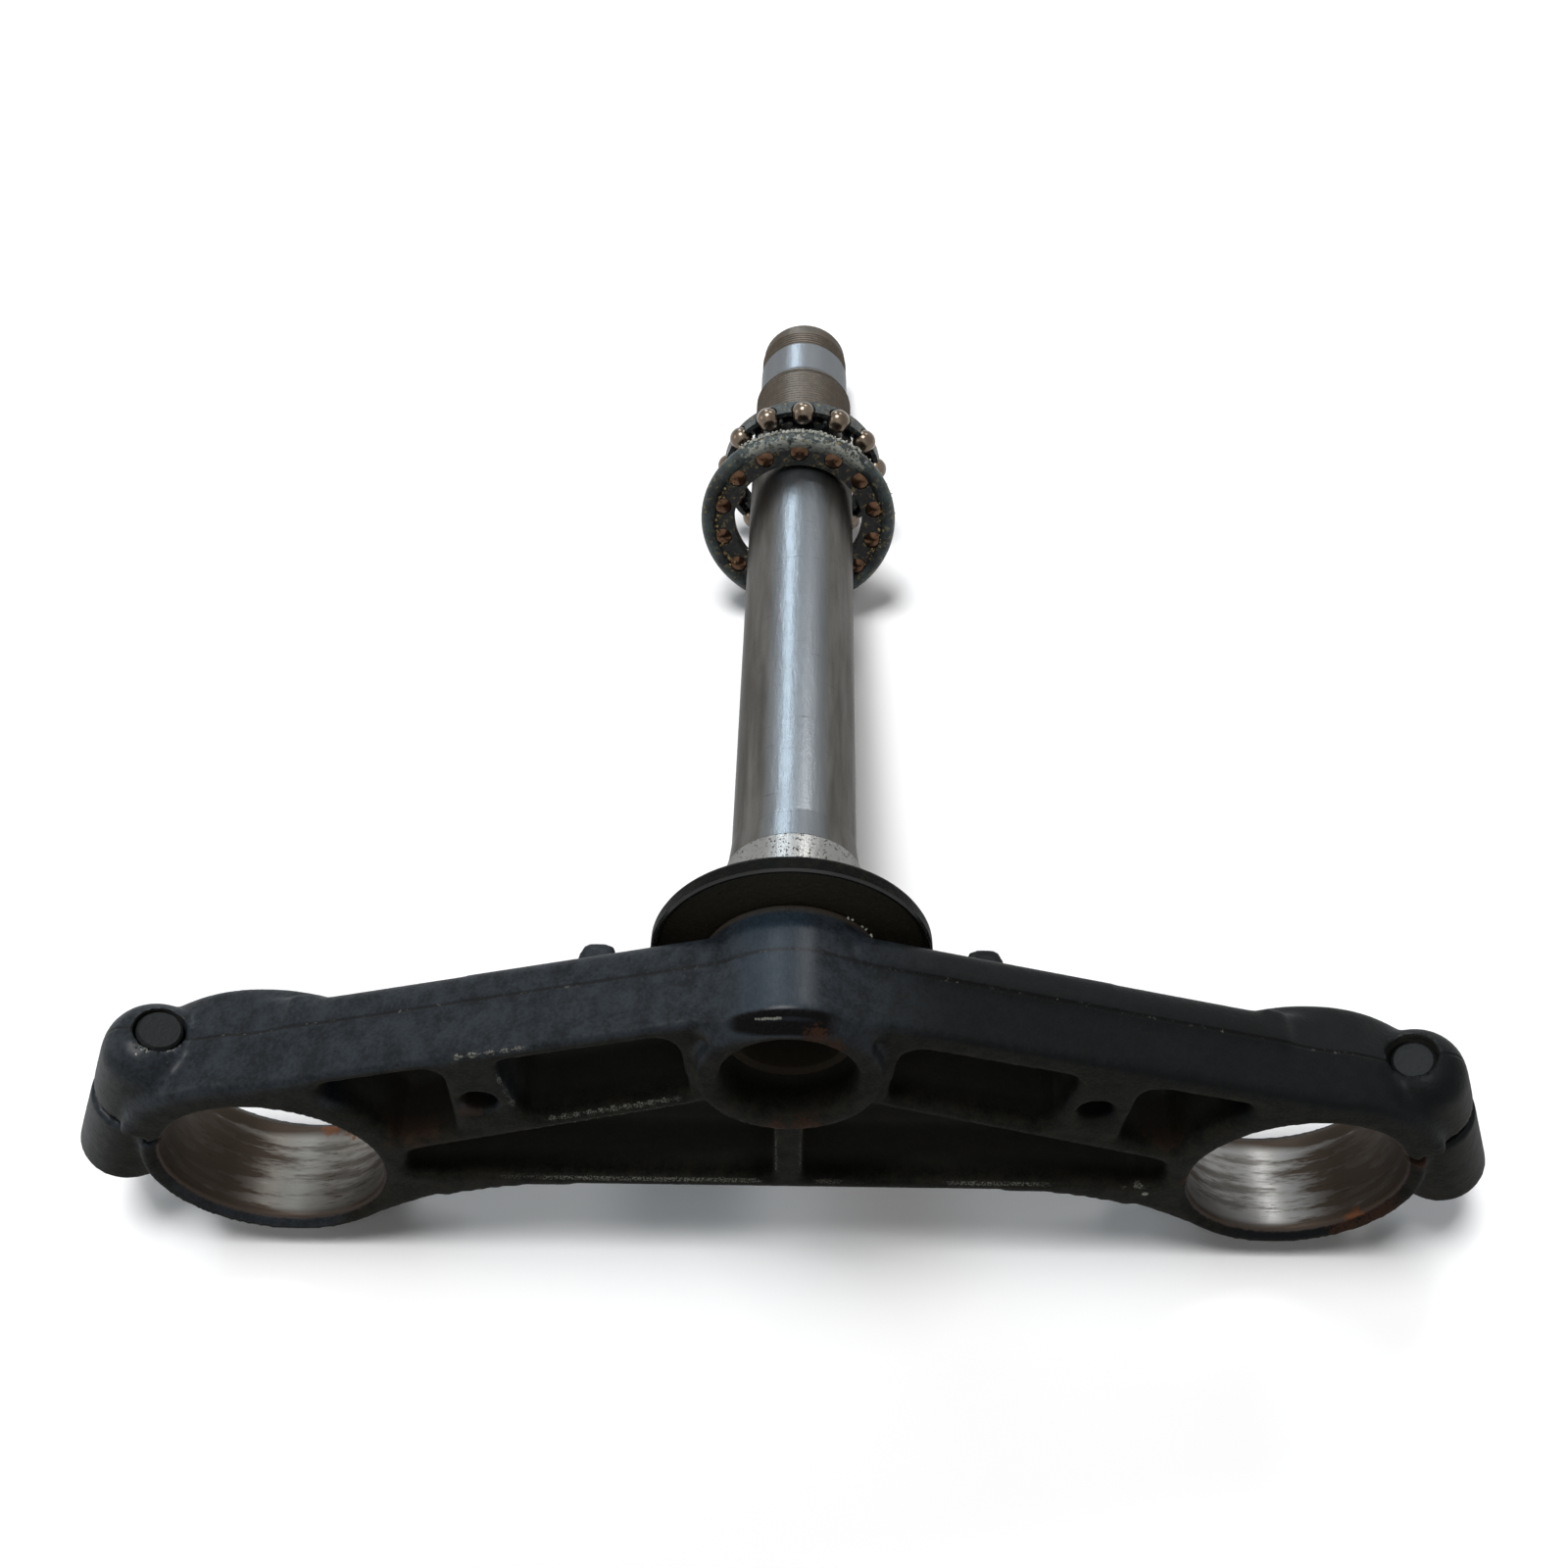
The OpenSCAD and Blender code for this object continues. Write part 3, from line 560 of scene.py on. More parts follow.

# %% [markdown]
# ## Black paint on the casting
# The casting was painted satin black over a rough cast skin. Its rear walls are clean and pick up
# a blue-grey sheen from the window; their colour is painted blue-grey as well, a painted sheen, and
# darker on the right arm, a painted shade. The underside is matt and brownish, and deep in the
# pockets it is painted lighter, a painted fill light. The paint is a dark, dull base with a thin
# clear coat, and the coat's weight is the mask: more on the clean walls, almost nothing on the
# underside. The fork bores are bare steel with brown streaks; their sides are darkened, a painted
# shade, and the right bore is painted lighter, a painted light.

# %% Rear walls, underside and bare places of the paint
ARM_SWEEP, SWEEP_END = 0.52, 28.0
BEHIND_ARMS, ON_CLAMPS, TO_THE_REAR = (-9.0, -13.0), (84.0, 92.0), (0.1, -0.5)
paint, tree, shader = material("black_paint", Specular_IOR_Level=0.05, Coat_Roughness=0.32)
here = use(tree, on_stem)
place, up = here["Place"], here["Up"]
turned = split(tree, here["Facing"])
aside = calc(tree, "ABSOLUTE", here["Across"])
rear_line = calc(tree, "MINIMUM", times(tree, aside, ARM_SWEEP), SWEEP_END)
behind = calc(tree, "SUBTRACT", here["Forward"], rear_line)
outside = calc(tree, "MAXIMUM", step(tree, behind, *BEHIND_ARMS), step(tree, aside, *ON_CLAMPS))
wall = times(tree, step(tree, turned[1], *TO_THE_REAR), outside)
left_of_stem = times(tree, wall, step(tree, here["Across"], 6.0, 0.0))
column = times(tree, left_of_stem, step(tree, aside, 13.0, 5.0))
blotch = noise(tree, place, 0.28, 5.0, 0.65)
speck = noise(tree, place, 2.2, 3.0, 0.7)
bore = use(tree, bore_group, Place=place, Ragged=0.5)
edges = use(tree, chip_group, Place=place, Reach=0.05, Chips=0.37, Grain=3.4)
print("the paint is clean on the rear walls and round the clamps")

# %% Colour of the paint
PARTING_UP, PARTING_HALF = 11.6, (0.55, 0.1)
grit = noise(tree, place, 1.5, 3.0, 0.6)
mottle = between(tree, 0.4, blotch, grit)
# Painted sheen: the rear walls' tone is lighter and blue-grey. The underside's tone is brownish.
wall_tone = mixed(tree, step(tree, mottle, 0.36, 0.62), tone(13, 16, 19), tone(33, 38, 43))
underside_tone = mixed(tree, step(tree, mottle, 0.36, 0.62), tone(13, 14, 12), tone(31, 30, 25))
# Painted fill light: deep in the pockets, where shade falls, the tone is painted much lighter.
deep = step(tree, up, 2.0, 7.0)
underside_tone = mixed(tree, deep, underside_tone, mixed(tree, blotch, tone(60, 62, 58), tone(75, 73, 66)))
right = step(tree, here["Across"], 4.0, 30.0)
# Painted shade: the rear walls on the right arm are darker, as less light falls there.
wall_tone = tinted(tree, wall_tone, right, 0.9, tone(7, 8, 8))
colour = mixed(tree, wall, underside_tone, wall_tone)
# Painted highlight: the column is tinted light blue-grey where the window shines on it.
colour = tinted(tree, colour, column, 0.5, tone(30, 44, 55))
# The parting line is painted dark; on the right arm this dark line is also a painted shadow under
# the ledge.
off_line = calc(tree, "ABSOLUTE", calc(tree, "SUBTRACT", up, PARTING_UP))
line = times(tree, step(tree, off_line, *PARTING_HALF), wall)
colour = tinted(tree, colour, line, 0.8, tone(5, 5, 5))
crumbs = times(tree, line, step(tree, noise(tree, place, 1.1, 3.0, 0.7), 0.6, 0.68))
colour = tinted(tree, colour, crumbs, 0.7, tone(82, 82, 76))
dust = step(tree, speck, 0.66, 0.8)
colour = tinted(tree, colour, dust, 0.3, tone(60, 55, 47))
print("paint has wall tone, dirt tone, parting line and dust")

# %% [markdown]
# Under the brow, where the boss meets the ring round the stem, a narrow crescent that the light
# doesn't reach is painted black, a painted shade.

# %% Painted shade: a black crescent under the brow
BROW_UP, BROW_FORWARD, BROW_LEFT, BROW_HALF = (0.1, -0.7), (-12.9, -13.9), 1.5, (10.0, 7.0)
SLOPING = (-0.99, -0.88)
below_brow = times(tree, step(tree, up, *BROW_UP), step(tree, here["Forward"], *BROW_FORWARD))
off_centre = calc(tree, "ABSOLUTE", calc(tree, "ADD", here["Across"], BROW_LEFT))
crescent = times(tree, below_brow, step(tree, off_centre, *BROW_HALF))
crescent = times(tree, crescent, step(tree, turned[2], *SLOPING))
colour = mixed(tree, crescent, colour, tone(3, 3, 3))
print("the crescent reaches", BROW_HALF[0], "mm to each side")

# %% Chips, and painted glints, on the casting
CHIP_ZONES = [(-58, -1, 0, 17), (-34, 17, 0, 20), (40, 41, 0, 12), (-20, 40, 0, 36),
              (-112, 11, 6, 6), (5.2, -9.6, -2.7, 1.6), (68, 43, 0, 5)]
# Painted highlight: a row of bright glints along the brow's edge.
BROW_PAINTED_HIGHLIGHT = [(-5.6 + 0.5 * i, -16.1 - 0.05 * i, -1.5, 0.36) for i in range(9)]
# Painted highlights: small bright spots, drawn as bare metal like the chips.
GLINTS = [(5.4, -9.7, -2.7, 0.7), (3.6, -10.2, -2.9, 0.5), (-17.4, 38.8, 10.3, 0.7),
          (19.8, 38.8, 10.7, 0.7), (-116, 9.6, 6.6, 0.4), (-111, 11.8, 6.3, 0.35),
          (68.5, 42.8, 0, 0.8), *BROW_PAINTED_HIGHLIGHT]
worn_edges = times(tree, edges["Chip"], patches(tree, place, CHIP_ZONES, 0.3, 0.2))
glints = patches(tree, place, GLINTS, 0.5, 1.2)
# The chips mask holds the worn chips and the painted glints.
chips = calc(tree, "MAXIMUM", times(tree, worn_edges, 0.7), glints)
colour = mixed(tree, chips, colour, tone(112, 112, 106))
print("chip zones:", len(CHIP_ZONES), "and glints:", len(GLINTS))

# %% Rust and brown stains on the casting
RUST_SPOTS = [(4.5, -13.2, -3, 2.6), (7.5, -11, -3, 2), (3, 14.6, -3, 3.2), (-2, 15, -3, 2.6),
              (118.4, 30.4, 0.8, 2.2), (117, 50, 0.2, 7), (112, 57, 0.2, 5), (76, 38, 0, 2)]
rust = patches(tree, place, RUST_SPOTS, 1.3, 1.5)
rust_tone = mixed(tree, speck, tone(32, 25, 20), tone(80, 52, 37))
neck = times(tree, step(tree, up, 20.0, 21.5), step(tree, here["Radius"], 17.5, 16.0))
colour = tinted(tree, colour, neck, 0.6, tone(58, 50, 40))
BROWN_ZONES = [(-69, 27, 6, 8), (-57, 16.6, 1.7, 3), (70, 27, 6, 6)]
brown_zone = patches(tree, place, BROWN_ZONES, 0.6, 0.4)
colour = tinted(tree, colour, brown_zone, 0.35, tone(66, 48, 37))
colour = tinted(tree, colour, rust, 0.6, rust_tone)
print("rust spots:", len(RUST_SPOTS))

# %% Stains, scratches and painted shade in the fork bores
LOW_MOUTH, HIGH_MOUTH = (3.6, 1.4), (18.0, 21.0)
OUTER_SIDE, INNER_SIDE = (-2.0, 15.0), (-9.0, -19.0)
worn = noise(tree, stretched(tree, bore["Round"], (0.05, 0.05, 0.35)), 1.0, 5.0, 0.65)
dashes = noise(tree, stretched(tree, bore["Round"], (0.22, 0.22, 4.0)), 1.0, 4.0, 0.7)
broad = noise(tree, stretched(tree, place, (0.06, 0.06, 0.12)), 1.0, 3.0)
here_and_there = step(tree, broad, 0.42, 0.6)
mouths = calc(tree, "MAXIMUM", step(tree, up, *LOW_MOUTH), step(tree, up, *HIGH_MOUTH))
# Painted shade: the outer and inner sides of each bore are darkened brown, where less light reaches
# them.
outward = split(tree, bore["Round"])[0]
outer = times(tree, step(tree, outward, *OUTER_SIDE), 0.95)
inner = times(tree, step(tree, outward, *INNER_SIDE), 0.55)
sides = calc(tree, "MAXIMUM", outer, inner)
stain_and_shade = times(tree, step(tree, worn, 0.46, 0.62), 0.6)
stain_and_shade = calc(tree, "MAXIMUM", stain_and_shade, mouths)
stain_and_shade = calc(tree, "ADD", stain_and_shade, times(tree, sides, step(tree, worn, 0.15, 0.42)), True)
scratch = times(tree, step(tree, dashes, 0.57, 0.64), here_and_there)
print("the mouths of the bores are stained below", LOW_MOUTH[0], "and above", HIGH_MOUTH[0], "mm")

# %% Bare steel in the fork bores
BORE_RUST = [(-88, 57.5, 20.5, 3.4), (-93.8, 58.9, 21.4, 2.6), (-83, 55, 20, 2.4),
             (112, 53, 0.6, 2.6)]
# Painted light: the steel of the right bore is lighter, where more light falls on it.
ground = mixed(tree, right, tone(118, 116, 111), tone(130, 130, 128))
steel = mixed(tree, stain_and_shade, ground, tone(60, 52, 45))
steel = tinted(tree, steel, scratch, 0.95, tone(50, 38, 30))
purple = times(tree, step(tree, up, 1.9, 0.6), noise(tree, place, 0.25))
steel = mixed(tree, purple, steel, tone(50, 46, 54))
bore_rust = patches(tree, place, BORE_RUST, 0.8, 0.8)
steel = tinted(tree, steel, bore_rust, 0.8, tone(96, 60, 38))
colour = mixed(tree, bore["Bare"], colour, steel)
print("rust spots in the bores:", len(BORE_RUST))

# %% Relief of the paint
cast_bumps = noise(tree, place, 0.3, 4.0, 0.6)
runs = noise(tree, stretched(tree, place, (1.3, 1.3, 0.35)), 1.0, 3.0, 0.6)
relief = calc(tree, "ADD", times(tree, grit, 0.22), times(tree, cast_bumps, 0.45))
relief = calc(tree, "ADD", relief, times(tree, times(tree, runs, column), 1.6))
relief = calc(tree, "SUBTRACT", relief, times(tree, line, 0.3))
relief = calc(tree, "ADD", relief, times(tree, rust, times(tree, speck, 0.4)))
relief = between(tree, bore["Bare"], relief, times(tree, dashes, 0.04))
bump = bumped(tree, relief, 0.0005)
print("the relief is 0.5 mm deep for a height of 1")

# %% Gloss and the finished paint
ABOVE_LINE, ON_RIGHT_ARM = (11.8, 12.2), (12.0, 30.0)
band = times(tree, step(tree, up, *ABOVE_LINE), step(tree, here["Across"], *ON_RIGHT_ARM))
coat = between(tree, wall, 0.01, between(tree, right, 0.14, 0.02))
coat = times(tree, coat, between(tree, mottle, 0.3, 1.7))
coat = calc(tree, "ADD", coat, times(tree, times(tree, band, wall), 0.08))
coat = calc(tree, "ADD", coat, times(tree, column, 0.24))
coat = between(tree, crescent, coat, 0.0)
bare = calc(tree, "MAXIMUM", bore["Bare"], chips)
coat = between(tree, calc(tree, "MAXIMUM", bare, rust), coat, 0.0)
metal = times(tree, bare, between(tree, stain_and_shade, 1.0, 0.8))
rough = between(tree, bore["Bare"], between(tree, wall, 0.8, 0.55), between(tree, stain_and_shade, 0.34, 0.5))
feed(tree, shader, Base_Color=colour, Metallic=metal, Roughness=rough, Coat_Weight=coat,
     Normal=bump)
casting.data.materials.append(paint)
print("paint is on", casting.name)

# %% [markdown]
# ## The turned stem
# The stem is turned on a lathe and ground, so its surface is satin with fine rings round it, and
# it has a thin brown film where old grease dried. The bearing seat at its foot is brighter and
# pitted; the thread zones near the tip are brown, with a bright plain band between them. Its upper
# side is painted lighter and bluer, a painted highlight.

# %% Steel of the stem
SEAT_ZONE = (27.0, 27.4, 41.5, 41.9)
stem_steel, tree, shader = material("stem_steel", Specular_IOR_Level=0.3,
                                    Specular_Tint=(0.5, 0.5, 0.5, 1))
here = use(tree, on_stem)
place, up = here["Place"], here["Up"]
rings = noise(tree, stretched(tree, place, (0.02, 0.02, 2.2)), 1.0, 4.0, 0.7)
film = noise(tree, stretched(tree, place, (0.25, 0.25, 0.03)), 1.0, 4.0, 0.6)
grime = noise(tree, place, 0.7, 5.0, 0.7)
steel = mixed(tree, step(tree, film, 0.3, 0.7), tone(78, 76, 72), tone(104, 102, 99))
steel = tinted(tree, steel, step(tree, grime, 0.58, 0.8), 0.5, tone(66, 60, 52))
seat = zone(tree, up, SEAT_ZONE)
pits = step(tree, noise(tree, place, 1.5, 4.0, 0.75), 0.56, 0.64)
steel = mixed(tree, seat, steel, mixed(tree, pits, tone(132, 132, 130), tone(54, 48, 42)))
turned = split(tree, here["Facing"])
# Painted highlight: the upper side of the stem is painted lighter and bluer, except on the seat.
painted_highlight_top = times(tree, step(tree, turned[1], -0.8, -0.99), step(tree, seat, 1.0, 0.0))
steel = tinted(tree, steel, painted_highlight_top, 0.8, tone(112, 118, 123))
print("seat runs from", SEAT_ZONE[0], "to", SEAT_ZONE[2], "mm up the stem")

# %% Brown thread zones and the scratches on the shank
SHANK_THREAD_ZONE, PLAIN_ZONE = (177.5, 178.5, 195.0, 197.0), (196.0, 197.0, 206.8, 207.6)
lower_thread = zone(tree, up, SHANK_THREAD_ZONE)
tip_thread = step(tree, up, 206.8, 208.2)
threads = calc(tree, "MAXIMUM", lower_thread, tip_thread)
plain = zone(tree, up, PLAIN_ZONE)
steel = tinted(tree, steel, plain, 0.8, tone(120, 124, 128))
brown = mixed(tree, grime, tone(54, 47, 40), tone(108, 99, 88))
steel = tinted(tree, steel, threads, 0.85, brown)
scores = step(tree, noise(tree, stretched(tree, place, (0.12, 0.12, 3.0)), 1.0, 2.0), 0.70, 0.74)
steel = tinted(tree, steel, scores, 0.6, tone(60, 56, 52))
print("bright plain band from", PLAIN_ZONE[1], "to", PLAIN_ZONE[2], "mm")

# %% Relief of the stem, and the dirt inside its bore
waves = noise(tree, stretched(tree, place, (0.4, 0.4, 0.07)), 1.0, 4.0, 0.6)
relief = calc(tree, "ADD", times(tree, rings, 0.05), times(tree, grime, 0.16))
relief = calc(tree, "ADD", relief, times(tree, waves, 0.6))
relief = calc(tree, "SUBTRACT", relief, times(tree, times(tree, pits, seat), 0.3))
bump = bumped(tree, relief, 0.0002)
inside = step(tree, here["Radius"], 10.6, 10.2)
inside = calc(tree, "MAXIMUM", times(tree, inside, step(tree, up, 200.0, 190.0)),
              step(tree, up, 9.0, 8.0))
steel = mixed(tree, inside, steel, mixed(tree, grime, tone(46, 43, 36), tone(70, 62, 50)))
rough = between(tree, threads, between(tree, grime, 0.28, 0.4), 0.45)
rough = between(tree, inside, rough, 0.8)
metal = between(tree, inside, between(tree, threads, 1.0, 0.85), 0.0)
feed(tree, shader, Base_Color=steel, Metallic=metal, Roughness=rough, Normal=bump)


def dress(node, finish):
    """Gives a CAD node its material."""
    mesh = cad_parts[node].data
    mesh.materials.clear()
    mesh.materials.append(finish)


dress("steering_stem", stem_steel)
print("stem is dressed")

# %% [markdown]
# ## Seal, washer, bolts and bearings
# The seal is black rubber, satin and a little dusty. The washer under it is stained brown. The
# bolts are black and dull. The cages are dark pressed steel under old grease, which is blue-green
# in places and ochre in others, and the balls are polished steel that the grease has tinted gold.

# %% Rubber
LIP_R, LIP_FACING = (24.2, 24.7), (-0.3, -0.8)
rubber, tree, shader = material("black_rubber", Specular_IOR_Level=0.03, Coat_Roughness=0.2)
here = use(tree, on_stem)
dusty = noise(tree, here["Place"], 0.35, 5.0, 0.65)
colour = mixed(tree, step(tree, dusty, 0.45, 0.8), tone(8, 9, 8), tone(26, 25, 20))
bump = bumped(tree, noise(tree, here["Place"], 1.5), 0.0002)
downward = split(tree, here["Facing"])[2]
lip = times(tree, step(tree, here["Radius"], *LIP_R), step(tree, downward, *LIP_FACING))
feed(tree, shader, Base_Color=colour, Roughness=between(tree, dusty, 0.4, 0.6),
     Coat_Weight=times(tree, lip, 0.7), Normal=bump)
dress("dust_seal", rubber)
print("seal is dressed")

# %% Brown washer
brown_steel, tree, shader = material("brown_steel", Specular_IOR_Level=0.25)
here = use(tree, on_stem)
blot = noise(tree, here["Place"], 0.3, 5.0, 0.65)
colour = mixed(tree, blot, tone(27, 26, 20), tone(46, 43, 32))
bump = bumped(tree, noise(tree, here["Place"], 1.2, 4.0), 0.0003)
feed(tree, shader, Base_Color=colour, Roughness=between(tree, blot, 0.65, 0.45),
     Metallic=between(tree, blot, 0.2, 0.0), Normal=bump)
dress("seal_washer", brown_steel)
print("washer is dressed")

# %% Black bolts
bolt_steel, tree, shader = material("bolt_steel", Specular_IOR_Level=0.12)
here = use(tree, on_stem)
scale = noise(tree, here["Place"], 1.0, 5.0, 0.65)
colour = mixed(tree, scale, tone(15, 17, 17), tone(28, 31, 32))
bump = bumped(tree, scale, 0.0002)
feed(tree, shader, Base_Color=colour, Roughness=between(tree, scale, 0.4, 0.6),
     Metallic=between(tree, scale, 0.0, 0.1), Normal=bump)
dress("left_pinch_bolt", bolt_steel)
dress("right_pinch_bolt", bolt_steel)
print("bolts are dressed")

# %% Cages, with old grease on the lower one's rim
CAGE_X, CAGE_Y, CAGE_UP, CAGE_RIM = -0.7, 2.6, 152.0, (19.2, 20.4)
SMEAR_R, SMEAR_UP, SMEAR_SIZE = 20.3, 151.4, 4.2
SMEAR_ANGLES = (-0.45, -0.2, 0.0, 0.2, 0.4, 0.58)
cage_steel, tree, shader = material("cage_steel", Specular_IOR_Level=0.5)
here = use(tree, on_stem)
smear = noise(tree, here["Place"], 0.22, 5.0, 0.6)
clot = noise(tree, here["Place"], 0.8, 5.0, 0.7)
rim = step(tree, distance(tree, here["Place"], (CAGE_X, CAGE_Y, CAGE_UP)), *CAGE_RIM)
plate = mixed(tree, smear, tone(8, 9, 9), tone(20, 22, 21))
blue_green = mixed(tree, step(tree, smear, 0.38, 0.62), tone(7, 11, 12), tone(40, 52, 52))
colour = mixed(tree, rim, plate, blue_green)
colour = mixed(tree, step(tree, clot, 0.56, 0.64), colour, tone(96, 86, 52))
smeared = [(CAGE_X + SMEAR_R * math.sin(a), CAGE_Y - SMEAR_R * math.cos(a), SMEAR_UP, SMEAR_SIZE)
           for a in SMEAR_ANGLES]
pale = times(tree, patches(tree, here["Place"], smeared, 1.3, 0.9), rim)
colour = mixed(tree, pale, colour, tone(128, 130, 122))
bump = bumped(tree, clot, 0.0004)
metal = times(tree, between(tree, clot, 0.7, 0.1), between(tree, pale, 1.0, 0.0))
feed(tree, shader, Base_Color=colour, Roughness=between(tree, clot, 0.25, 0.55), Metallic=metal,
     Normal=bump)
dress("lower_bearing_cage", cage_steel)
dress("upper_bearing_cage", cage_steel)
print("cages are dressed, with", len(SMEAR_ANGLES), "smears on the rim")

# %% Balls
for finish, node_name, dull, bright in (
        ("greased_balls", "lower_bearing_balls", (50, 34, 25), (98, 74, 56)),
        ("upper_balls", "upper_bearing_balls", (50, 40, 32), (126, 114, 100))):
    ball_steel, tree, shader = material(finish, Specular_IOR_Level=0.5)
    here = use(tree, on_stem)
    tint = noise(tree, here["Place"], 0.35, 4.0, 0.6)
    colour = mixed(tree, tint, tone(*dull), tone(*bright))
    feed(tree, shader, Base_Color=colour, Roughness=between(tree, tint, 0.16, 0.3),
         Metallic=between(tree, tint, 0.9, 1.0))
    dress(node_name, ball_steel)
    print(node_name, "are dressed")

# %% Dried grease, pale on the rim and ochre between the balls
greases = []
for finish, dark, light in (("pale_grease", (92, 94, 88), (176, 176, 166)),
                            ("ochre_grease", (62, 52, 30), (128, 108, 62))):
    grease, tree, shader = material(finish, Specular_IOR_Level=0.4)
    here = use(tree, on_stem)
    clot = noise(tree, here["Place"], 0.9, 4.0, 0.65)
    colour = mixed(tree, clot, tone(*dark), tone(*light))
    feed(tree, shader, Base_Color=colour, Roughness=between(tree, clot, 0.35, 0.6))
    greases.append(grease)
pale_grease, ochre_grease = greases
print("greases:", [g.name for g in greases])

# %% [markdown]
# ## Threads and dried grease, from Geometry Nodes
# Two things on this part repeat. The stem carries two fine threads, and each is one sharp crest
# wound round the turned-down steel. Old grease has dried to pale crumbs on the cages and under
# the seal; each group of crumbs is scattered along an arc, and its seed keeps them the same in
# every render.

# %% Helpers for a tree that makes geometry
def maker(name, inputs):
    """An empty Geometry Nodes tree with named inputs, and its input and output nodes."""
    return group(name, inputs, [("Geometry", "Geometry")], "GeometryNodeTree")


def grown(name, tree, finish, slot, place, **values):
    """A piece made by a tree with its own input values, as plain mesh that rides with the part."""
    piece = link_object(name, bpy.data.meshes.new(name))
    change = piece.modifiers.new(name, "NODES")
    change.node_group = tree
    values["Finish"] = finish
    for socket in tree.interface.items_tree:
        key = socket.name.replace(" ", "_")
        if socket.in_out == "INPUT" and key in values:
            change[socket.identifier] = values[key]
    mesh = baked(piece)
    mesh.transform(TO_WORLD @ place)
    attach(piece, "root")
    print(name, "has", len(mesh.polygons), "faces")


# %% Tree: a thread's crest
thread_tree, take, out = maker("thread crest", [
    ("Root Radius", "Float", 10.0), ("Depth", "Float", 0.3), ("Start", "Float", 0.0),
    ("Pitch", "Float", 1.0), ("Turns", "Float", 10.0), ("Finish", "Material", None)])
height = times(thread_tree, take["Pitch"], take["Turns"])
spiral = node(thread_tree, "GeometryNodeCurveSpiral", None, Resolution=72, Rotations=take["Turns"],
              Start_Radius=take["Root Radius"], End_Radius=take["Root Radius"], Height=height)
upright = node(thread_tree, "GeometryNodeSetCurveNormal", {"mode": "Z_UP"}, Curve=spiral.outputs[0])
ridge = node(thread_tree, "GeometryNodeCurvePrimitiveCircle", None, Resolution=4,
             Radius=take["Depth"])
swept = node(thread_tree, "GeometryNodeCurveToMesh", None, Curve=upright.outputs[0],
             Profile_Curve=ridge.outputs[0], Fill_Caps=True)
lift = node(thread_tree, "ShaderNodeCombineXYZ", None, Z=take["Start"])
raised = node(thread_tree, "GeometryNodeTransform", None, Geometry=swept.outputs[0],
              Translation=lift.outputs[0])
plain = node(thread_tree, "GeometryNodeRealizeInstances", None, Geometry=raised.outputs[0])
dressed = node(thread_tree, "GeometryNodeSetMaterial", None, Geometry=plain.outputs[0],
               Material=take["Finish"])
thread_tree.links.new(dressed.outputs[0], out[0])

at_foot = Matrix.Identity(4)
grown("shank_thread", thread_tree, stem_steel, "stem_steel", at_foot, Root_Radius=11.68, Depth=0.15,
      Start=179.2, Pitch=1.0, Turns=15.5)
grown("tip_thread", thread_tree, stem_steel, "stem_steel", at_foot, Root_Radius=10.48, Depth=0.3,
      Start=208.6, Pitch=1.0, Turns=5.0)

# %% Tree: crumbs along an arc
crumb_tree, take, out = maker("dried crumbs", [
    ("Seed", "Int", 1), ("Crumbs", "Int", 60), ("Radius", "Float", 10.0), ("Start", "Float", 0.0),
    ("Sweep", "Float", 90.0), ("Spread", "Float", 0.5), ("Smallest", "Float", 0.2),
    ("Largest", "Float", 0.7), ("Finish", "Material", None)])
radians = [calc(crumb_tree, "RADIANS", take[label]) for label in ("Start", "Sweep")]
arc = node(crumb_tree, "GeometryNodeCurveArc", {"mode": "RADIUS"}, Resolution=take["Crumbs"],
           Radius=take["Radius"], Start_Angle=radians[0], Sweep_Angle=radians[1])
dots = node(crumb_tree, "GeometryNodeCurveToPoints", {"mode": "COUNT"}, Curve=arc.outputs[0],
            Count=take["Crumbs"])
far = take["Spread"]
back = times(crumb_tree, far, -1.0)
low = node(crumb_tree, "ShaderNodeCombineXYZ", None, X=back, Y=back, Z=back)
high = node(crumb_tree, "ShaderNodeCombineXYZ", None, X=far, Y=far, Z=far)
stray = node(crumb_tree, "FunctionNodeRandomValue", {"data_type": "FLOAT_VECTOR"},
             s0=low.outputs[0], s1=high.outputs[0], Seed=take["Seed"])
strewn = node(crumb_tree, "GeometryNodeSetPosition", None, Geometry=dots.outputs[0],
              Offset=stray.outputs[0])
size = node(crumb_tree, "FunctionNodeRandomValue", {"data_type": "FLOAT"}, s2=take["Smallest"],
            s3=take["Largest"], Seed=take["Seed"])
turn = node(crumb_tree, "FunctionNodeRandomValue", {"data_type": "FLOAT_VECTOR"},
            s1=(6.3, 6.3, 6.3), Seed=take["Seed"])
crumb = node(crumb_tree, "GeometryNodeMeshIcoSphere", None, Radius=1.0, Subdivisions=1)
squashed = node(crumb_tree, "GeometryNodeTransform", None, Geometry=crumb.outputs[0],
                Scale=(1.0, 0.7, 0.45))
placed = node(crumb_tree, "GeometryNodeInstanceOnPoints", None, Points=strewn.outputs[0],
              Instance=squashed.outputs[0], Rotation=turn.outputs[0], Scale=size.outputs[1])
plain = node(crumb_tree, "GeometryNodeRealizeInstances", None, Geometry=placed.outputs[0])
dressed = node(crumb_tree, "GeometryNodeSetMaterial", None, Geometry=plain.outputs[0],
               Material=take["Finish"])
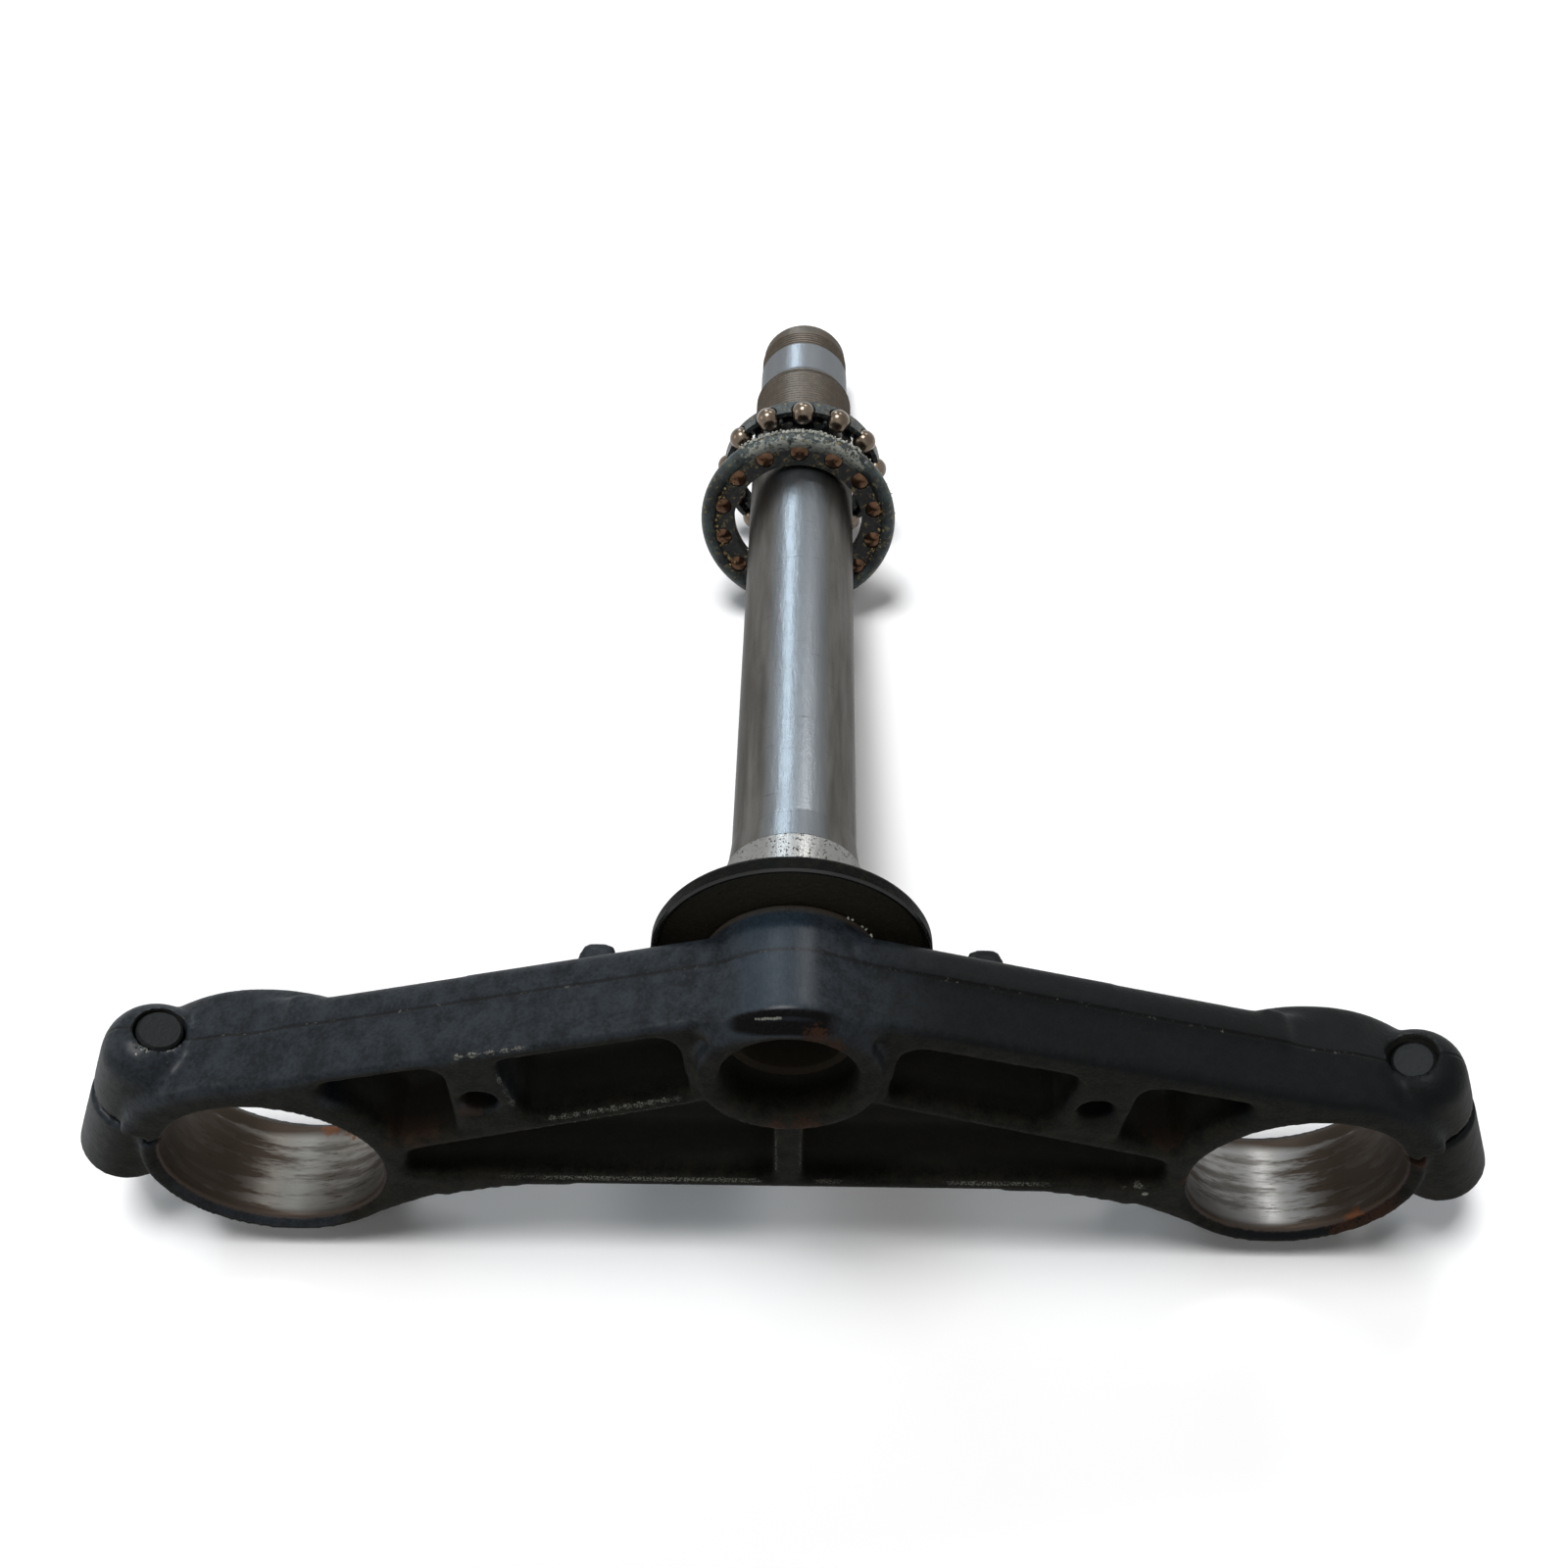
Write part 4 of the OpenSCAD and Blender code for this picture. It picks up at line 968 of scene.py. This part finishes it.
crumb_tree.links.new(dressed.outputs[0], out[0])

# %% Where the grease dried
CAGE_R, LOWER_CAGE_Z, CAGE_LEAN, CAGE_SIDE = 15.1, 153.0, 9.7, 0.7
BALL_D, RIM_OUT, BALL_PLATE, SHEET, HANG_GAP, STEM_R = 6.35, 2.7, 1.4, 1.1, 0.15, 12.0
RIM_R = CAGE_R + BALL_D / 2 + RIM_OUT
lean = math.radians(CAGE_LEAN)
play = CAGE_R * math.cos(lean) - (BALL_PLATE + SHEET) * math.sin(lean) - STEM_R - HANG_GAP
hang = math.sqrt(play ** 2 - CAGE_SIDE ** 2)
in_lower_cage = (Matrix.Translation((-CAGE_SIDE, hang, LOWER_CAGE_Z))
                 @ Matrix.Rotation(-lean, 4, "X"))
on_rim = in_lower_cage @ Matrix.Translation((0, 0, -BALL_PLATE + 0.3))
grown("rim_grease", crumb_tree, pale_grease, "", on_rim, Seed=4, Crumbs=260,
      Radius=RIM_R + 1.75, Start=-126.0, Sweep=74.0, Spread=0.5, Smallest=0.25, Largest=0.75)
grown("right_rim_grease", crumb_tree, pale_grease, "", on_rim, Seed=9, Crumbs=26,
      Radius=RIM_R + 1.75, Start=-48.0, Sweep=40.0, Spread=0.5, Smallest=0.12, Largest=0.4)
on_plate = in_lower_cage @ Matrix.Translation((0, 0, -BALL_PLATE - SHEET))
grown("left_ochre_grease", crumb_tree, ochre_grease, "", on_plate, Seed=5, Crumbs=120,
      Radius=RIM_R - 2.0, Start=-215.0, Sweep=75.0, Spread=0.8, Smallest=0.15, Largest=0.6)
grown("right_ochre_grease", crumb_tree, ochre_grease, "", on_plate, Seed=7, Crumbs=60,
      Radius=RIM_R - 1.6, Start=-25.0, Sweep=60.0, Spread=0.8, Smallest=0.15, Largest=0.5)
on_neck = Matrix.Translation((0, 0, 22.6))
grown("neck_flakes", crumb_tree, pale_grease, "", on_neck, Seed=3, Crumbs=5, Radius=15.6,
      Start=-52.0, Sweep=26.0, Spread=0.5, Smallest=0.15, Largest=0.6)
